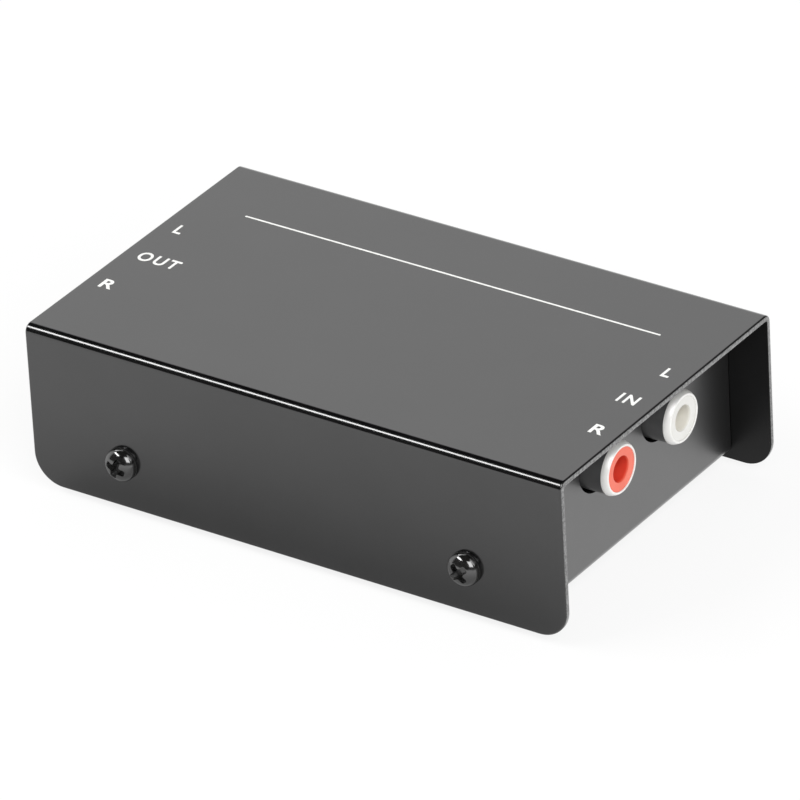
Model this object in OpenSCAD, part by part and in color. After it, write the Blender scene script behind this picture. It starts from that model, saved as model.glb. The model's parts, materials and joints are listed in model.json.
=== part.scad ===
// Small phono preamplifier in a folded steel case. Millimetres.
// X runs from the OUT end (-X) to the IN end (+X), Y from front to back, Z up.
// The origin is the middle of the footprint, on the surface that the feet stand on.

/* [Cover] */
// Length of the cover, from one open end to the other
cover_l = 96; // [92:1:140]
// Width over the two long sides
cover_w = 57.5; // [56.5:0.5:80]
// Height from the lower edge of the sides to the top face
cover_h = 27; // [26:0.5:40]
// Sheet thickness of the cover
sheet_t = 0.9; // [0.6:0.1:1.2]
// Inside radius of the two long bends
bend_in = 0.6; // [0.3:0.1:1.5]
// Radius of the lower corners of the sides
side_corner_r = 5; // [1:0.5:8]
// Depth of each end panel behind the end of the cover
end_recess = 7.2; // [5:0.2:10]

/* [Chassis] */
// Sheet thickness of the chassis
chassis_t = 0.9; // [0.6:0.1:1.5]
// Inside radius of the chassis bends
chassis_bend_in = 0.5; // [0.2:0.1:1.2]
// How far the cover's sides reach below the chassis floor
side_drop = 1.1; // [0.4:0.1:2]
// Height of the upturned side lips above the underside of the floor
lip_h = 14; // [11.5:0.5:18]
// Distance from an end panel to the end of a side lip
lip_end_gap = 3; // [2:0.5:6]
// Air between the chassis sides and the cover, each side
side_fit = 0.1; // [0.05:0.05:0.3]
// Air between the top edge of an end panel and the cover
top_fit = 0.15; // [0.1:0.05:0.5]

/* [Cover screws] */
// Thread diameter
screw_d = 3; // [2.5:0.1:3.6]
// Length under the head
screw_l = 5; // [4:0.5:5.5]
// Head diameter
screw_head_d = 5.4; // [5:0.2:7]
// Head height
screw_head_h = 2.2; // [1.6:0.1:2.4]
// Mean distance from an end of the cover to the nearer screws
screw_inset = 17.1; // [15:0.1:24]
// How far all the screws sit towards the output end
screw_shift = 0.45; // [0:0.05:1]
// Height of a screw above the lower edge of the sides
screw_up = 7.7; // [6.5:0.1:10]
// Width of a clearance hole beyond the thread
screw_hole_fit = 0.4; // [0.2:0.1:0.8]
// Length of the cross recess from tip to tip
cross_l = 3.2; // [2.4:0.1:3.6]
// Width of the arms of the cross recess
cross_w = 0.9; // [0.6:0.1:1]
// Depth of the cross recess
cross_depth = 1.4; // [0.8:0.1:1.4]
// Share of a screw head's height that is domed
head_dome = 0.6; // [0.4:0.05:0.9]

/* [Feet] */
// Diameter of a stick-on foot at its glued face
foot_d = 8; // [6:0.5:11]
// Height of a foot
foot_h = 2.5; // [2.2:0.1:5]
// Radial draft of a foot from top to bottom
foot_draft = 0.5; // [0.2:0.1:1]
// Distance of a foot's middle from the end panel and from the chassis side
foot_inset = 8; // [7:0.5:11]

/* [Circuit board] */
// Board thickness
board_t = 1.6; // [1:0.2:2]
// Height of the board's standoffs
standoff_h = 5.2; // [4.5:0.1:7]
// Width of a hexagonal standoff across its flats
standoff_af = 5.5; // [5:0.1:6]
// Air from an end panel to the end of the board
board_end_gap = 2.9; // [1:0.1:4]
// Air from the tip of a cover screw to the side of the board
board_tip_gap = 0.75; // [0.3:0.05:1.2]
// Distance from the end of the board to a standoff
standoff_inset = 15; // [14:0.5:16]
// Distance from the side of the board to a standoff
standoff_side = 4; // [3.5:0.1:4.5]
// Thread diameter of the board screws
board_screw_d = 3; // [2.5:0.1:3]
// Length of a board screw under the head
board_screw_l = 5; // [4:0.5:6]
// Head diameter of a board screw
board_head_d = 5.4; // [5:0.1:6]
// Head height of a board screw
board_head_h = 1.8; // [1.6:0.1:2.2]
// Diameter of a standoff's stem, which is pressed into the floor
standoff_stem_d = 4; // [3.8:0.1:4.5]

/* [Phono jacks] */
// Air between the power inlet and the jack block beside it
jack_gap = 1; // [0.3:0.1:3]
// Height of the jack axis above the board
jack_axis_h = 9.5; // [8.5:0.1:10]
// How far a sleeve stands out of the end panel
jack_reach = 4.45; // [3:0.05:6]
// Diameter of the hole in the end panel
jack_hole_d = 9.6; // [9.4:0.1:10.4]
// Outside diameter of the sleeve
sleeve_d = 8.3; // [8:0.1:8.6]
// Wall of the sleeve
sleeve_wall = 0.5; // [0.4:0.05:0.6]
// Length of the sleeve in front of the jack block
sleeve_l = 8; // [7:0.1:9]
// Depth of the sleeve in the jack block
sleeve_seat = 3; // [2:0.1:3.5]
// Step from the sleeve down to the part of it that sits in the jack block
sleeve_step = 0.2; // [0.2:0.05:0.25]
// Radius of the sleeve's rounded rim
rim_r = 0.35; // [0.1:0.05:0.4]
// Distance from the rim back to the face of the insert
insert_back = 0.15; // [0:0.05:1]
// Bore of the insert, for the plug's pin
pin_bore_d = 4; // [4:0.1:4.2]
// Diameter of the funnel at the mouth of the bore
funnel_d = 4.3; // [4.2:0.1:5.5]
// Depth of the funnel
funnel_depth = 0.35; // [0.3:0.05:1.5]
// Inside diameter of the sprung contact
contact_in_d = 3; // [2.8:0.1:3.1]
// Wall of the sprung contact
contact_wall = 0.25; // [0.2:0.05:0.3]
// Depth of the jack block behind its front face
block_depth = 10; // [9.5:0.5:11]
// Width of the jack block beside the axis of each jack
block_side = 4.5; // [4.4:0.1:4.9]
// Height of the jack block above the jack axis
block_over = 4.9; // [4.7:0.1:6]

/* [Power inlet] */
// Height of the inlet and of the ground stud above the board
terminal_h = 6.5; // [6:0.1:7.5]
// Width of the inlet's body
inlet_w = 9; // [8.6:0.1:9.3]
// Height of the inlet's body above its axis
inlet_over = 4.4; // [4.3:0.1:5]
// Depth of the inlet's body behind the end panel
inlet_depth = 12; // [11:0.5:13]
// Diameter of the inlet's round nose
inlet_nose_d = 7.8; // [7.4:0.1:8.2]
// How far the nose stands out of the end panel
inlet_proud = 0.4; // [0:0.1:1]
// Bore of the inlet
inlet_bore_d = 6.3; // [6:0.1:6.5]
// Depth of the inlet's bore
inlet_bore_l = 10; // [9:0.5:11]
// Diameter of the inlet's pin
inlet_pin_d = 2.1; // [1.9:0.1:2.5]
// Distance from the mouth back to the tip of the pin
inlet_pin_back = 0.8; // [0.5:0.1:2]

/* [Ground terminal] */
// Thread diameter of the ground stud
stud_d = 4; // [3:0.1:4.2]
// Length of the stud outside the end panel
stud_l = 6.8; // [6.7:0.1:8]
// Height of the stud's head
stud_head_h = 2.4; // [1.8:0.1:2.6]
// Diameter of the stud's head
stud_head_d = 7; // [6.4:0.2:7.6]
// Height of the fixing nut
nut_h = 2; // [1.6:0.1:2.2]
// Width of the fixing nut across its flats
nut_af = 7; // [6.5:0.5:8]
// Thickness of the washer
washer_t = 0.8; // [0.5:0.1:0.8]
// Diameter of the washer
washer_d = 8.8; // [8:0.2:9.4]
// Height of the thumb nut
thumb_h = 3.6; // [3:0.1:3.8]
// Diameter of the thumb nut over its knurl
thumb_d = 9.4; // [8.8:0.2:10]
// Number of ridges round the thumb nut
thumb_ridges = 32; // [24:4:40]
// Depth of the grooves between the ridges
thumb_groove = 0.3; // [0.2:0.05:0.4]
// Thickness of the ground lug
lug_t = 0.6; // [0.4:0.1:0.8]
// Width of the ground lug's tail
lug_tail_w = 3.2; // [2.4:0.2:4]
// Diameter of the ground wire
wire_d = 1.3; // [1:0.1:1.6]
// Bend radius of the ground wire
wire_bend_r = 1.6; // [1.4:0.1:1.8]
// Air between the ground wire and the head of the stud
wire_gap = 0.2; // [0.1:0.05:0.3]

/* [Components] */
// Diameter of the filter capacitor
filter_d = 10; // [8:0.5:11]
// Height of the filter capacitor
filter_h = 13; // [10:0.5:14]
// Diameter of a signal capacitor
signal_d = 6.3; // [5:0.1:6.5]
// Height of a signal capacitor
signal_h = 11; // [7:0.5:12]
// Length of a film capacitor
film_l = 7.2; // [6:0.1:7.6]
// Thickness of a film capacitor
film_w = 2.6; // [2:0.1:3.4]
// Height of a film capacitor
film_h = 6.6; // [5:0.1:9]
// Length of a resistor's body
resistor_l = 6.2; // [5:0.1:6.4]
// Diameter of a resistor's body
resistor_d = 2.3; // [1.8:0.1:2.4]
// Distance between a resistor's two legs
resistor_span = 10.16; // [9.4:0.02:10.4]
// Diameter of the component legs
leg_d = 0.6; // [0.5:0.05:0.7]
// Distance between neighbouring pins of the op-amp
op_amp_pitch = 2.54; // [2.5:0.01:2.6]
// Distance between the two rows of the op-amp's pins
op_amp_row = 7.62; // [7.4:0.02:7.8]
// Height of the op-amp's socket
socket_h = 4.2; // [3.6:0.1:4.6]

/* [Component places] */
// Filter capacitor, from the middle of the board towards the OUT end
filter_x = 12.5; // [12:0.1:13]
// Filter capacitor, from the middle of the board towards the back
filter_y = 12.5; // [12:0.1:13]
// Signal capacitors, from the middle towards each end
signal_x = 16; // [15.5:0.1:17]
// Signal capacitors, from the middle towards each side
signal_y = 4.2; // [3.6:0.1:4.4]
// Film capacitors, from the middle towards the IN end
film_x = 9.5; // [9.3:0.1:10]
// First film capacitor, from the middle towards each side
film_y = 12; // [11:0.1:12.5]
// Distance from one film capacitor to the next
film_step = 4.6; // [4:0.1:5]
// Resistors, from the middle towards the OUT end
resistor_x = 1.2; // [1:0.1:1.4]
// First resistor, from the middle towards each side
resistor_y = 8.2; // [7.6:0.1:8.6]
// Distance from one resistor to the next
resistor_step = 3.4; // [2.8:0.1:3.6]
// Diode, from the middle towards the OUT end
diode_x = 15; // [14:0.1:16]
// Diode, from the middle towards the front
diode_y = 12; // [11.5:0.1:12.5]
// Voltage regulator, from the middle towards the OUT end
regulator_x = 15; // [14:0.1:15.5]
// Voltage regulator, from the middle towards the front
regulator_y = 17.5; // [17:0.1:18]

/* [Hidden] */
$fn = 64;
cut = 1;             // how far a cutting shape runs past the surface it cuts
loose = 0.05;        // radial air between two pieces that slide together when assembled
pass_fit = 0.1;      // radial air round what passes through an end panel

// Levels, from the table upwards
floor_under = foot_h;
floor_top = floor_under + chassis_t;
cover_low = floor_under - side_drop;
cover_top = cover_low + cover_h;
cover_under = cover_top - sheet_t;
panel_top = cover_under - top_fit;
board_under = floor_top + standoff_h;
board_top = board_under + board_t;
jack_z = board_top + jack_axis_h;
terminal_z = board_top + terminal_h;
screw_z = cover_low + screw_up;

// Distances from the middle along X
panel_x = cover_l / 2 - end_recess;
panel_in_x = panel_x - chassis_t;
board_x = panel_in_x - board_end_gap;
block_x = panel_x + jack_reach - sleeve_l;
screw_x = cover_l / 2 - screw_inset;
foot_x = panel_x - foot_inset;
standoff_x = board_x - standoff_inset;
lip_x = panel_x - lip_end_gap;

// Distances from the middle along Y
chassis_y = cover_w / 2 - sheet_t - side_fit;
board_y = cover_w / 2 - screw_l - board_tip_gap;
foot_y = chassis_y - foot_inset;
standoff_y = board_y - standoff_side;
terminal_y = board_y - inlet_w / 2;
block_y = terminal_y - inlet_w / 2 - jack_gap;
jack_y = block_y - block_side;

// Jack details
sleeve_r = sleeve_d / 2;
sleeve_in_r = sleeve_r - sleeve_wall;
insert_r = sleeve_in_r - loose;
contact_r = contact_in_d / 2 + contact_wall;
contact_front = 0.8;
contact_inset = 2.2; // from the back of the jack block to the end of the contact
contact_back = block_depth - contact_inset;
tail_t = 0.5;
tail_w = 1.2;
tab_w = 2;
slot_fit = 0.2;

// Ground terminal, as distances along the stud from the outside of the end panel
washer_from = nut_h;
thumb_from = washer_from + washer_t;
stud_r = stud_d / 2;
thread_mean = 0.23;          // from the thread's crest in to its mean radius
shank_r = stud_r - thread_mean;
thread_fit = 0.03;
wire_down = stud_head_d / 2 + wire_gap + wire_d / 2;   // from the stud's axis down to the wire

// Power inlet, with its contact leaf
inlet_wall_z = inlet_proud - inlet_bore_l;   // floor of the inlet's bore
inlet_shank_r = inlet_pin_d / 2 - 0.2;       // the pin's shank, where the housing holds it
leaf_w = 2.4;
leaf_t = 0.3;
leaf_press = 0.45;                           // how far the leaf reaches into the bore

// Op-amp package
package_w = 6.35;
package_h = 3.3;

// Component counts
op_amp_legs = 4;     // on each side
resistor_rows = 4;

// Op-amp socket
socket_l = op_amp_legs * op_amp_pitch;
socket_rim = 1.25;   // from a row of pins to the outside of the socket
socket_w = op_amp_row + 2 * socket_rim;

// ---------------------------------------------------------------- shared shapes

// Turns a shape whose axis is Z so that the axis points along +X
module along_x() {
    rotate([0, 90, 0]) children();
}

// The input end as drawn, or the output end as its mirror image
module at_end(end) {
    if (end > 0) children();
    else mirror([1, 0, 0]) children();
}

// A copy in each of the four corners of a rectangle with this half length and half width
module at_corners(x, y) {
    for (sx = [-1, 1], sy = [-1, 1])
        translate([sx * x, sy * y, 0]) children();
}

// A square whose two upper corners are rounded, standing on the X axis
module round_top(w, h, r) {
    translate([-w / 2, 0]) square([w, h - r]);
    translate([-w / 2 + r, 0]) square([w - 2 * r, h]);
    for (s = [-1, 1])
        translate([s * (w / 2 - r), h - r]) circle(r);
}

// A folded channel's profile, open at the bottom, with its bend radii
module channel(w, h, t, r_in) {
    difference() {
        round_top(w, h, r_in + t);
        translate([0, -cut]) round_top(w - 2 * t, h - t + cut, r_in);
    }
}

// A pan head with a cross recess; the head's underside is at z = 0
module pan_head(d, h) {
    rise = head_dome * h;
    dome_r = (d * d / 4 + rise * rise) / (2 * rise);
    difference() {
        intersection() {
            cylinder(d = d, h = h);
            translate([0, 0, h - dome_r]) sphere(dome_r);
        }
        for (a = [0, 90])
            rotate([0, 0, a])
                translate([-cross_l / 2, -cross_w / 2, h - cross_depth])
                    cube([cross_l, cross_w, cross_depth + cut]);
        translate([0, 0, h - cross_depth]) cylinder(d = 1.6 * cross_w, h = cross_depth + cut);
    }
}

// A screw: its head above z = 0 and its shank below, with a bevel at the tip
module pan_screw(d, l, head_d, head_h) {
    bevel = 0.5;
    pan_head(head_d, head_h);
    translate([0, 0, -l]) cylinder(d1 = d - bevel, d2 = d, h = bevel);
    translate([0, 0, bevel - l]) cylinder(d = d, h = l - bevel);
}

// ---------------------------------------------------------------- case

// What is taken off the lower corners of both sides at one end
module side_corner_cut(x_sign) {
    translate([x_sign * (cover_l / 2 - side_corner_r), 0, cover_low + side_corner_r])
        difference() {
            translate([x_sign > 0 ? 0 : -side_corner_r - cut, -cover_w / 2 - cut, -side_corner_r - cut])
                cube([side_corner_r + cut, cover_w + 2 * cut, side_corner_r + cut]);
            rotate([90, 0, 0]) cylinder(r = side_corner_r, h = cover_w + 4 * cut, center = true);
        }
}

// The four screw holes, right through the case from side to side
module screw_holes(d) {
    for (x = [-screw_x, screw_x])
        translate([x - screw_shift, 0, screw_z])
            rotate([90, 0, 0]) cylinder(d = d, h = cover_w + 2 * cut, center = true);
}

module top_cover() {
    color([0.045, 0.045, 0.048])
    difference() {
        translate([-cover_l / 2, 0, cover_low])
            rotate([90, 0, 90])
                linear_extrude(cover_l) channel(cover_w, cover_h, sheet_t, bend_in);
        for (s = [-1, 1]) side_corner_cut(s);
        screw_holes(screw_d + screw_hole_fit);
    }
}

// Outline of an end panel, with corners that clear the cover's bends
module panel_outline() {
    corner_fit = 0.5;
    round_top(2 * chassis_y, panel_top - floor_under, bend_in + corner_fit);
}

// Holes in the end panels: jacks at both ends, inlet and ground stud at the OUT end
module end_openings() {
    for (y = [-jack_y, jack_y])
        translate([0, y, jack_z]) along_x() cylinder(d = jack_hole_d, h = cover_l, center = true);
    translate([-panel_x - cut, terminal_y, terminal_z])
        along_x() cylinder(d = inlet_nose_d + 2 * pass_fit, h = chassis_t + 2 * cut);
    translate([-panel_x - cut, -terminal_y, terminal_z])
        along_x() cylinder(d = stud_d + 2 * pass_fit, h = chassis_t + 2 * cut);
}

module chassis() {
    panel_h = panel_top - floor_under;
    lip_bend = chassis_bend_in + chassis_t;
    color([0.05, 0.05, 0.053])
    difference() {
        union() {
            // floor and end panels, folded from one strip
            intersection() {
                translate([0, chassis_y, 0])
                    rotate([90, 0, 0])
                        linear_extrude(2 * chassis_y)
                            translate([0, panel_top])
                                mirror([0, 1])
                                    channel(2 * panel_x, panel_h, chassis_t, chassis_bend_in);
                translate([-panel_x, 0, floor_under])
                    rotate([90, 0, 90])
                        linear_extrude(2 * panel_x) panel_outline();
                // the floor's sides give way to the side lips
                union() {
                    translate([-panel_x, -chassis_y + lip_bend, floor_under])
                        cube([2 * panel_x, 2 * (chassis_y - lip_bend), panel_h]);
                    for (s = [-1, 1])
                        translate([s > 0 ? panel_x - lip_bend : -panel_x, -chassis_y, floor_under])
                            cube([lip_bend, 2 * chassis_y, panel_h]);
                }
            }
            // floor and side lips
            translate([-lip_x, 0, floor_under + lip_h])
                rotate([90, 0, 90])
                    linear_extrude(2 * lip_x)
                        mirror([0, 1]) channel(2 * chassis_y, lip_h, chassis_t, chassis_bend_in);
        }
        end_openings();
        screw_holes(screw_d + 2 * loose);
        at_corners(standoff_x, standoff_y)
            translate([0, 0, floor_under - cut])
                cylinder(d = standoff_stem_d + 2 * loose, h = chassis_t + 2 * cut);
    }
}

module cover_screws() {
    color([0.03, 0.03, 0.03])
    for (s = [-1, 1], x = [-screw_x, screw_x])
        translate([x - screw_shift, s * cover_w / 2, screw_z])
            rotate([-90 * s, 0, 0])
                rotate([0, 0, 45]) pan_screw(screw_d, screw_l, screw_head_d, screw_head_h);
}

module rubber_feet() {
    top_r = foot_d / 2;
    low_r = top_r - foot_draft;
    edge = foot_draft;
    color([0.02, 0.02, 0.02])
    at_corners(foot_x, foot_y)
        rotate_extrude()
            polygon([[0, 0], [low_r - edge, 0], [low_r, edge], [top_r, foot_h], [0, foot_h]]);
}

// ---------------------------------------------------------------- board and fixings

module circuit_board() {
    color([0.05, 0.3, 0.14])
    difference() {
        translate([-board_x, -board_y, board_under]) cube([2 * board_x, 2 * board_y, board_t]);
        at_corners(standoff_x, standoff_y)
            translate([0, 0, board_under - cut])
                cylinder(d = board_screw_d + 2 * pass_fit, h = board_t + 2 * cut);
    }
}

module board_standoffs() {
    hex_d = standoff_af / cos(30);
    color([0.75, 0.75, 0.72])
    at_corners(standoff_x, standoff_y)
        difference() {
            union() {
                translate([0, 0, floor_under]) cylinder(d = standoff_stem_d, h = chassis_t);
                translate([0, 0, floor_top]) cylinder(d = hex_d, h = standoff_h, $fn = 6);
            }
            translate([0, 0, floor_top]) cylinder(d = board_screw_d + 2 * loose, h = standoff_h + cut);
        }
}

module board_screws() {
    color([0.7, 0.7, 0.7])
    at_corners(standoff_x, standoff_y)
        translate([0, 0, board_top])
            pan_screw(board_screw_d, board_screw_l, board_head_d, board_head_h);
}

// ---------------------------------------------------------------- phono jacks

// Local frame of a jack: the axis points out of the case from the block's front face
module at_jack(end, side) {
    at_end(end)
        translate([block_x, side * jack_y, jack_z]) along_x() children();
}

// One moulding carries both jacks of an end and stands on the board;
// the board lies jack_axis_h from the axes, along the local +X of at_jack
module jack_block(end) {
    block_h = jack_axis_h + block_over;
    edge = 1;
    pocket_w = 3.2;
    pocket_wall = 1.5;
    color([0.04, 0.04, 0.045])
    difference() {
        at_end(end)
            translate([block_x - block_depth, 0, board_top])
                rotate([90, 0, 90])
                    linear_extrude(block_depth) round_top(2 * block_y, block_h, edge);
        for (side = [-1, 1])
            at_jack(end, side) {
                translate([0, 0, -sleeve_seat])
                    cylinder(r = sleeve_r - sleeve_step + loose, h = sleeve_seat + cut);
                translate([0, 0, -block_depth - cut])
                    cylinder(r = contact_r + slot_fit, h = block_depth + cut);
                // slot for the sleeve's solder tab, then the slot for the contact's tail
                translate([0, -tab_w / 2 - slot_fit, -sleeve_seat])
                    cube([jack_axis_h + cut, tab_w + 2 * slot_fit, tail_t + slot_fit]);
                translate([0, -tail_w / 2 - slot_fit, -block_depth - cut])
                    cube([
                        jack_axis_h + cut, tail_w + 2 * slot_fit,
                        block_depth - contact_back + tail_t + slot_fit + cut
                    ]);
            }
        // lightening pocket between the two jacks
        at_end(end)
            translate([block_x - block_depth - cut, -pocket_w / 2, board_top - cut])
                cube([block_depth - pocket_wall + cut, pocket_w, block_h - pocket_wall + cut]);
    }
}

// A turned sleeve with a rounded rim
module sleeve(end, side) {
    tab_lap = 0.1;
    color([0.8, 0.8, 0.78])
    at_jack(end, side) {
        rotate_extrude()
            intersection() {
                translate([sleeve_in_r, -sleeve_seat]) square([sleeve_wall, sleeve_seat + sleeve_l]);
                union() {
                    translate([0, -sleeve_seat]) square([sleeve_r - sleeve_step, sleeve_seat + cut]);
                    square([sleeve_r, sleeve_l - rim_r]);
                    square([sleeve_r - rim_r, sleeve_l]);
                    translate([sleeve_r - rim_r, sleeve_l - rim_r]) circle(rim_r);
                }
            }
        // solder tab down to the board
        translate([sleeve_in_r + tab_lap, -tab_w / 2, -sleeve_seat])
            cube([jack_axis_h - sleeve_in_r - tab_lap, tab_w, tail_t]);
    }
}

// The coloured insert that fills a sleeve, with a funnel at the mouth of its bore
module insert(end, side) {
    face = sleeve_l - insert_back;
    bore_r = pin_bore_d / 2;
    socket_r = contact_r + loose;
    edge = 0.2;
    at_jack(end, side)
        rotate_extrude()
            polygon([
                [socket_r, -sleeve_seat], [insert_r, -sleeve_seat], [insert_r, face - edge],
                [insert_r - edge, face], [funnel_d / 2, face], [bore_r, face - funnel_depth],
                [bore_r, contact_front], [socket_r, contact_front]
            ]);
}

// The centre contact: a tube slit in four at its mouth, so that it grips the plug's pin
module contact(end, side) {
    slot_w = 0.45;
    slot_l = 4;
    color([0.85, 0.78, 0.55])
    at_jack(end, side) {
        difference() {
            translate([0, 0, -contact_back]) cylinder(r = contact_r, h = contact_back + contact_front);
            translate([0, 0, -contact_back - cut])
                cylinder(d = contact_in_d, h = contact_back + contact_front + 2 * cut);
            for (a = [45, 135])
                rotate([0, 0, a])
                    translate([-slot_w / 2, -contact_r - cut, contact_front - slot_l])
                        cube([slot_w, 2 * (contact_r + cut), slot_l + cut]);
        }
        // tail down to the board
        translate([contact_r - contact_wall / 2, -tail_w / 2, -contact_back])
            cube([jack_axis_h - contact_r + contact_wall / 2, tail_w, tail_t]);
    }
}

module input_jack_block() { jack_block(1); }
module input_sleeve_left() { sleeve(1, 1); }
module input_sleeve_right() { sleeve(1, -1); }
module input_insert_left() { color([0.93, 0.93, 0.9]) insert(1, 1); }
module input_insert_right() { color([0.85, 0.12, 0.05]) insert(1, -1); }
module input_contact_left() { contact(1, 1); }
module input_contact_right() { contact(1, -1); }
module output_jack_block() { jack_block(-1); }
module output_sleeve_left() { sleeve(-1, 1); }
module output_sleeve_right() { sleeve(-1, -1); }
module output_insert_left() { color([0.93, 0.93, 0.9]) insert(-1, 1); }
module output_insert_right() { color([0.85, 0.12, 0.05]) insert(-1, -1); }
module output_contact_left() { contact(-1, 1); }
module output_contact_right() { contact(-1, -1); }

// ---------------------------------------------------------------- power inlet

// Local frame: the axis points out of the case, and z = 0 is the outside of the end panel
module at_terminal(y) {
    at_end(-1)
        translate([panel_x, y, terminal_z]) along_x() children();
}

module inlet_housing() {
    body_l = inlet_depth - chassis_t;
    shoulder = 1;
    color([0.04, 0.04, 0.04])
    at_terminal(terminal_y)
        difference() {
            union() {
                translate([0, 0, -chassis_t - cut])
                    cylinder(d = inlet_nose_d, h = chassis_t + cut + inlet_proud);
                // body with stepped shoulders, standing on the board
                translate([0, 0, -inlet_depth])
                    linear_extrude(body_l) {
                        translate([0, -inlet_w / 2]) square([terminal_h, inlet_w]);
                        translate([-inlet_over, -inlet_w / 2 + shoulder])
                            square([inlet_over, inlet_w - 2 * shoulder]);
                        translate([-inlet_over + shoulder, -inlet_w / 2]) square([inlet_over, inlet_w]);
                    }
            }
            translate([0, 0, inlet_wall_z]) cylinder(d = inlet_bore_d, h = inlet_bore_l + cut);
            // hole for the pin's shank, and the slot for the spring leaf
            translate([0, 0, -inlet_depth - cut])
                cylinder(r = inlet_shank_r + loose, h = inlet_depth + cut);
            translate([0, -leaf_w / 2 - slot_fit, -inlet_depth - cut])
                cube([terminal_h + cut, leaf_w + 2 * slot_fit, body_l - 1 + cut]);
        }
}

module inlet_pin() {
    tip_z = inlet_proud - inlet_pin_back;
    pin_r = inlet_pin_d / 2;
    color([0.8, 0.8, 0.78])
    at_terminal(terminal_y) {
        translate([0, 0, -inlet_depth]) cylinder(r = inlet_shank_r, h = inlet_depth);
        translate([0, 0, inlet_wall_z]) cylinder(r = pin_r, h = tip_z - pin_r - inlet_wall_z);
        translate([0, 0, tip_z - pin_r]) sphere(pin_r);
        // tail outside the back of the body, down to the board
        translate([-pin_r, -pin_r, -inlet_depth - leaf_t]) cube([terminal_h + pin_r, 2 * pin_r, leaf_t]);
    }
}

// A bent leaf that presses on the plug's barrel; its foot lies on the board
module inlet_spring() {
    bore_r = inlet_bore_d / 2;
    heel = -inlet_depth + 1.2;
    nose = -chassis_t - 1.6;
    belly = -0.45 * inlet_bore_l;
    foot = 0.6;
    rest = terminal_h - leaf_t;
    color([0.85, 0.78, 0.55])
    at_terminal(terminal_y)
        translate([0, leaf_w / 2, 0])
            rotate([90, 0, 0])
                linear_extrude(leaf_w)
                    polygon([
                        [terminal_h, heel - foot], [terminal_h, heel], [rest, heel],
                        [bore_r - leaf_press + leaf_t, belly],
                        [bore_r + 2 * leaf_t, nose], [bore_r + leaf_t, nose],
                        [bore_r - leaf_press, belly],
                        [rest - foot, heel - foot]
                    ]);
}

// ---------------------------------------------------------------- ground terminal

module ground_stud() {
    head_from = -chassis_t - lug_t - stud_head_h;
    bevel = 0.4;
    color([0.8, 0.78, 0.72])
    at_terminal(-terminal_y) {
        translate([0, 0, head_from]) cylinder(d = stud_head_d, h = stud_head_h);
        // plain shank at the mean radius of its thread
        translate([0, 0, head_from]) cylinder(r = shank_r, h = stud_l - bevel - head_from);
        translate([0, 0, stud_l - bevel]) cylinder(r1 = shank_r, r2 = shank_r - bevel, h = bevel);
    }
}

module ground_nut() {
    corner_d = nut_af / cos(30);
    chamfer = 30;
    color([0.8, 0.78, 0.72])
    at_terminal(-terminal_y)
        difference() {
            intersection() {
                cylinder(d = corner_d, h = nut_h, $fn = 6);
                // chamfer round the outer face
                cylinder(d1 = nut_af + 2 * nut_h / tan(chamfer), d2 = nut_af, h = nut_h);
            }
            translate([0, 0, -cut]) cylinder(r = stud_r + thread_fit, h = nut_h + 2 * cut);
        }
}

module ground_lug() {
    eye_r = stud_d;
    color([0.8, 0.8, 0.75])
    at_terminal(-terminal_y)
        translate([0, 0, -chassis_t - lug_t])
            linear_extrude(lug_t)
                difference() {
                    union() {
                        circle(eye_r);
                        translate([0, -lug_tail_w / 2]) square([wire_down, lug_tail_w]);
                        translate([wire_down, 0]) circle(d = lug_tail_w);
                    }
                    circle(stud_r + 2 * loose);
                }
}

module ground_wire() {
    run = stud_head_h + 0.4;
    color([0.12, 0.45, 0.12])
    at_terminal(-terminal_y)
        translate([wire_down, 0, -chassis_t - lug_t]) {
            translate([0, 0, -run]) cylinder(d = wire_d, h = run);
            // quarter turn from the lug's normal to straight down
            translate([wire_bend_r, 0, -run])
                rotate([90, 0, 0])
                    rotate([0, 0, 180])
                        rotate_extrude(angle = 90) translate([wire_bend_r, 0]) circle(d = wire_d);
            translate([wire_bend_r, 0, -run - wire_bend_r])
                along_x() cylinder(d = wire_d, h = terminal_h - wire_down - wire_bend_r);
        }
}

module ground_washer() {
    color([0.8, 0.8, 0.75])
    at_terminal(-terminal_y)
        translate([0, 0, washer_from])
            difference() {
                cylinder(d = washer_d, h = washer_t);
                translate([0, 0, -cut]) cylinder(r = stud_r + 2 * loose, h = washer_t + 2 * cut);
            }
}

module ground_thumb_nut() {
    tip_r = thumb_d / 2;
    root_r = tip_r - thumb_groove;
    step = 180 / thumb_ridges;
    face_r = root_r - 0.2;
    dish = 0.4;
    color([0.82, 0.8, 0.74])
    at_terminal(-terminal_y)
        translate([0, 0, thumb_from])
            difference() {
                intersection() {
                    linear_extrude(thumb_h)
                        polygon([
                            for (i = [0 : 2 * thumb_ridges - 1])
                                (i % 2 == 0 ? root_r : tip_r) * [cos(i * step), sin(i * step)]
                        ]);
                    // bevel on both faces
                    cylinder(r1 = face_r, r2 = face_r + 2 * thumb_h, h = thumb_h);
                    cylinder(r1 = face_r + 2 * thumb_h, r2 = face_r, h = thumb_h);
                }
                translate([0, 0, -cut]) cylinder(r = stud_r + thread_fit, h = thumb_h + 2 * cut);
                // shallow dish round the thread
                translate([0, 0, thumb_h - dish]) cylinder(r = stud_r + 1, h = dish + cut);
            }
}

// ---------------------------------------------------------------- components

// A copy at each leg of the op-amp, on the board
module at_legs() {
    for (side = [-1, 1], i = [0 : op_amp_legs - 1])
        translate([(i - (op_amp_legs - 1) / 2) * op_amp_pitch, side * op_amp_row / 2, board_top])
            rotate([0, 0, side > 0 ? 0 : 180]) children();
}

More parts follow.
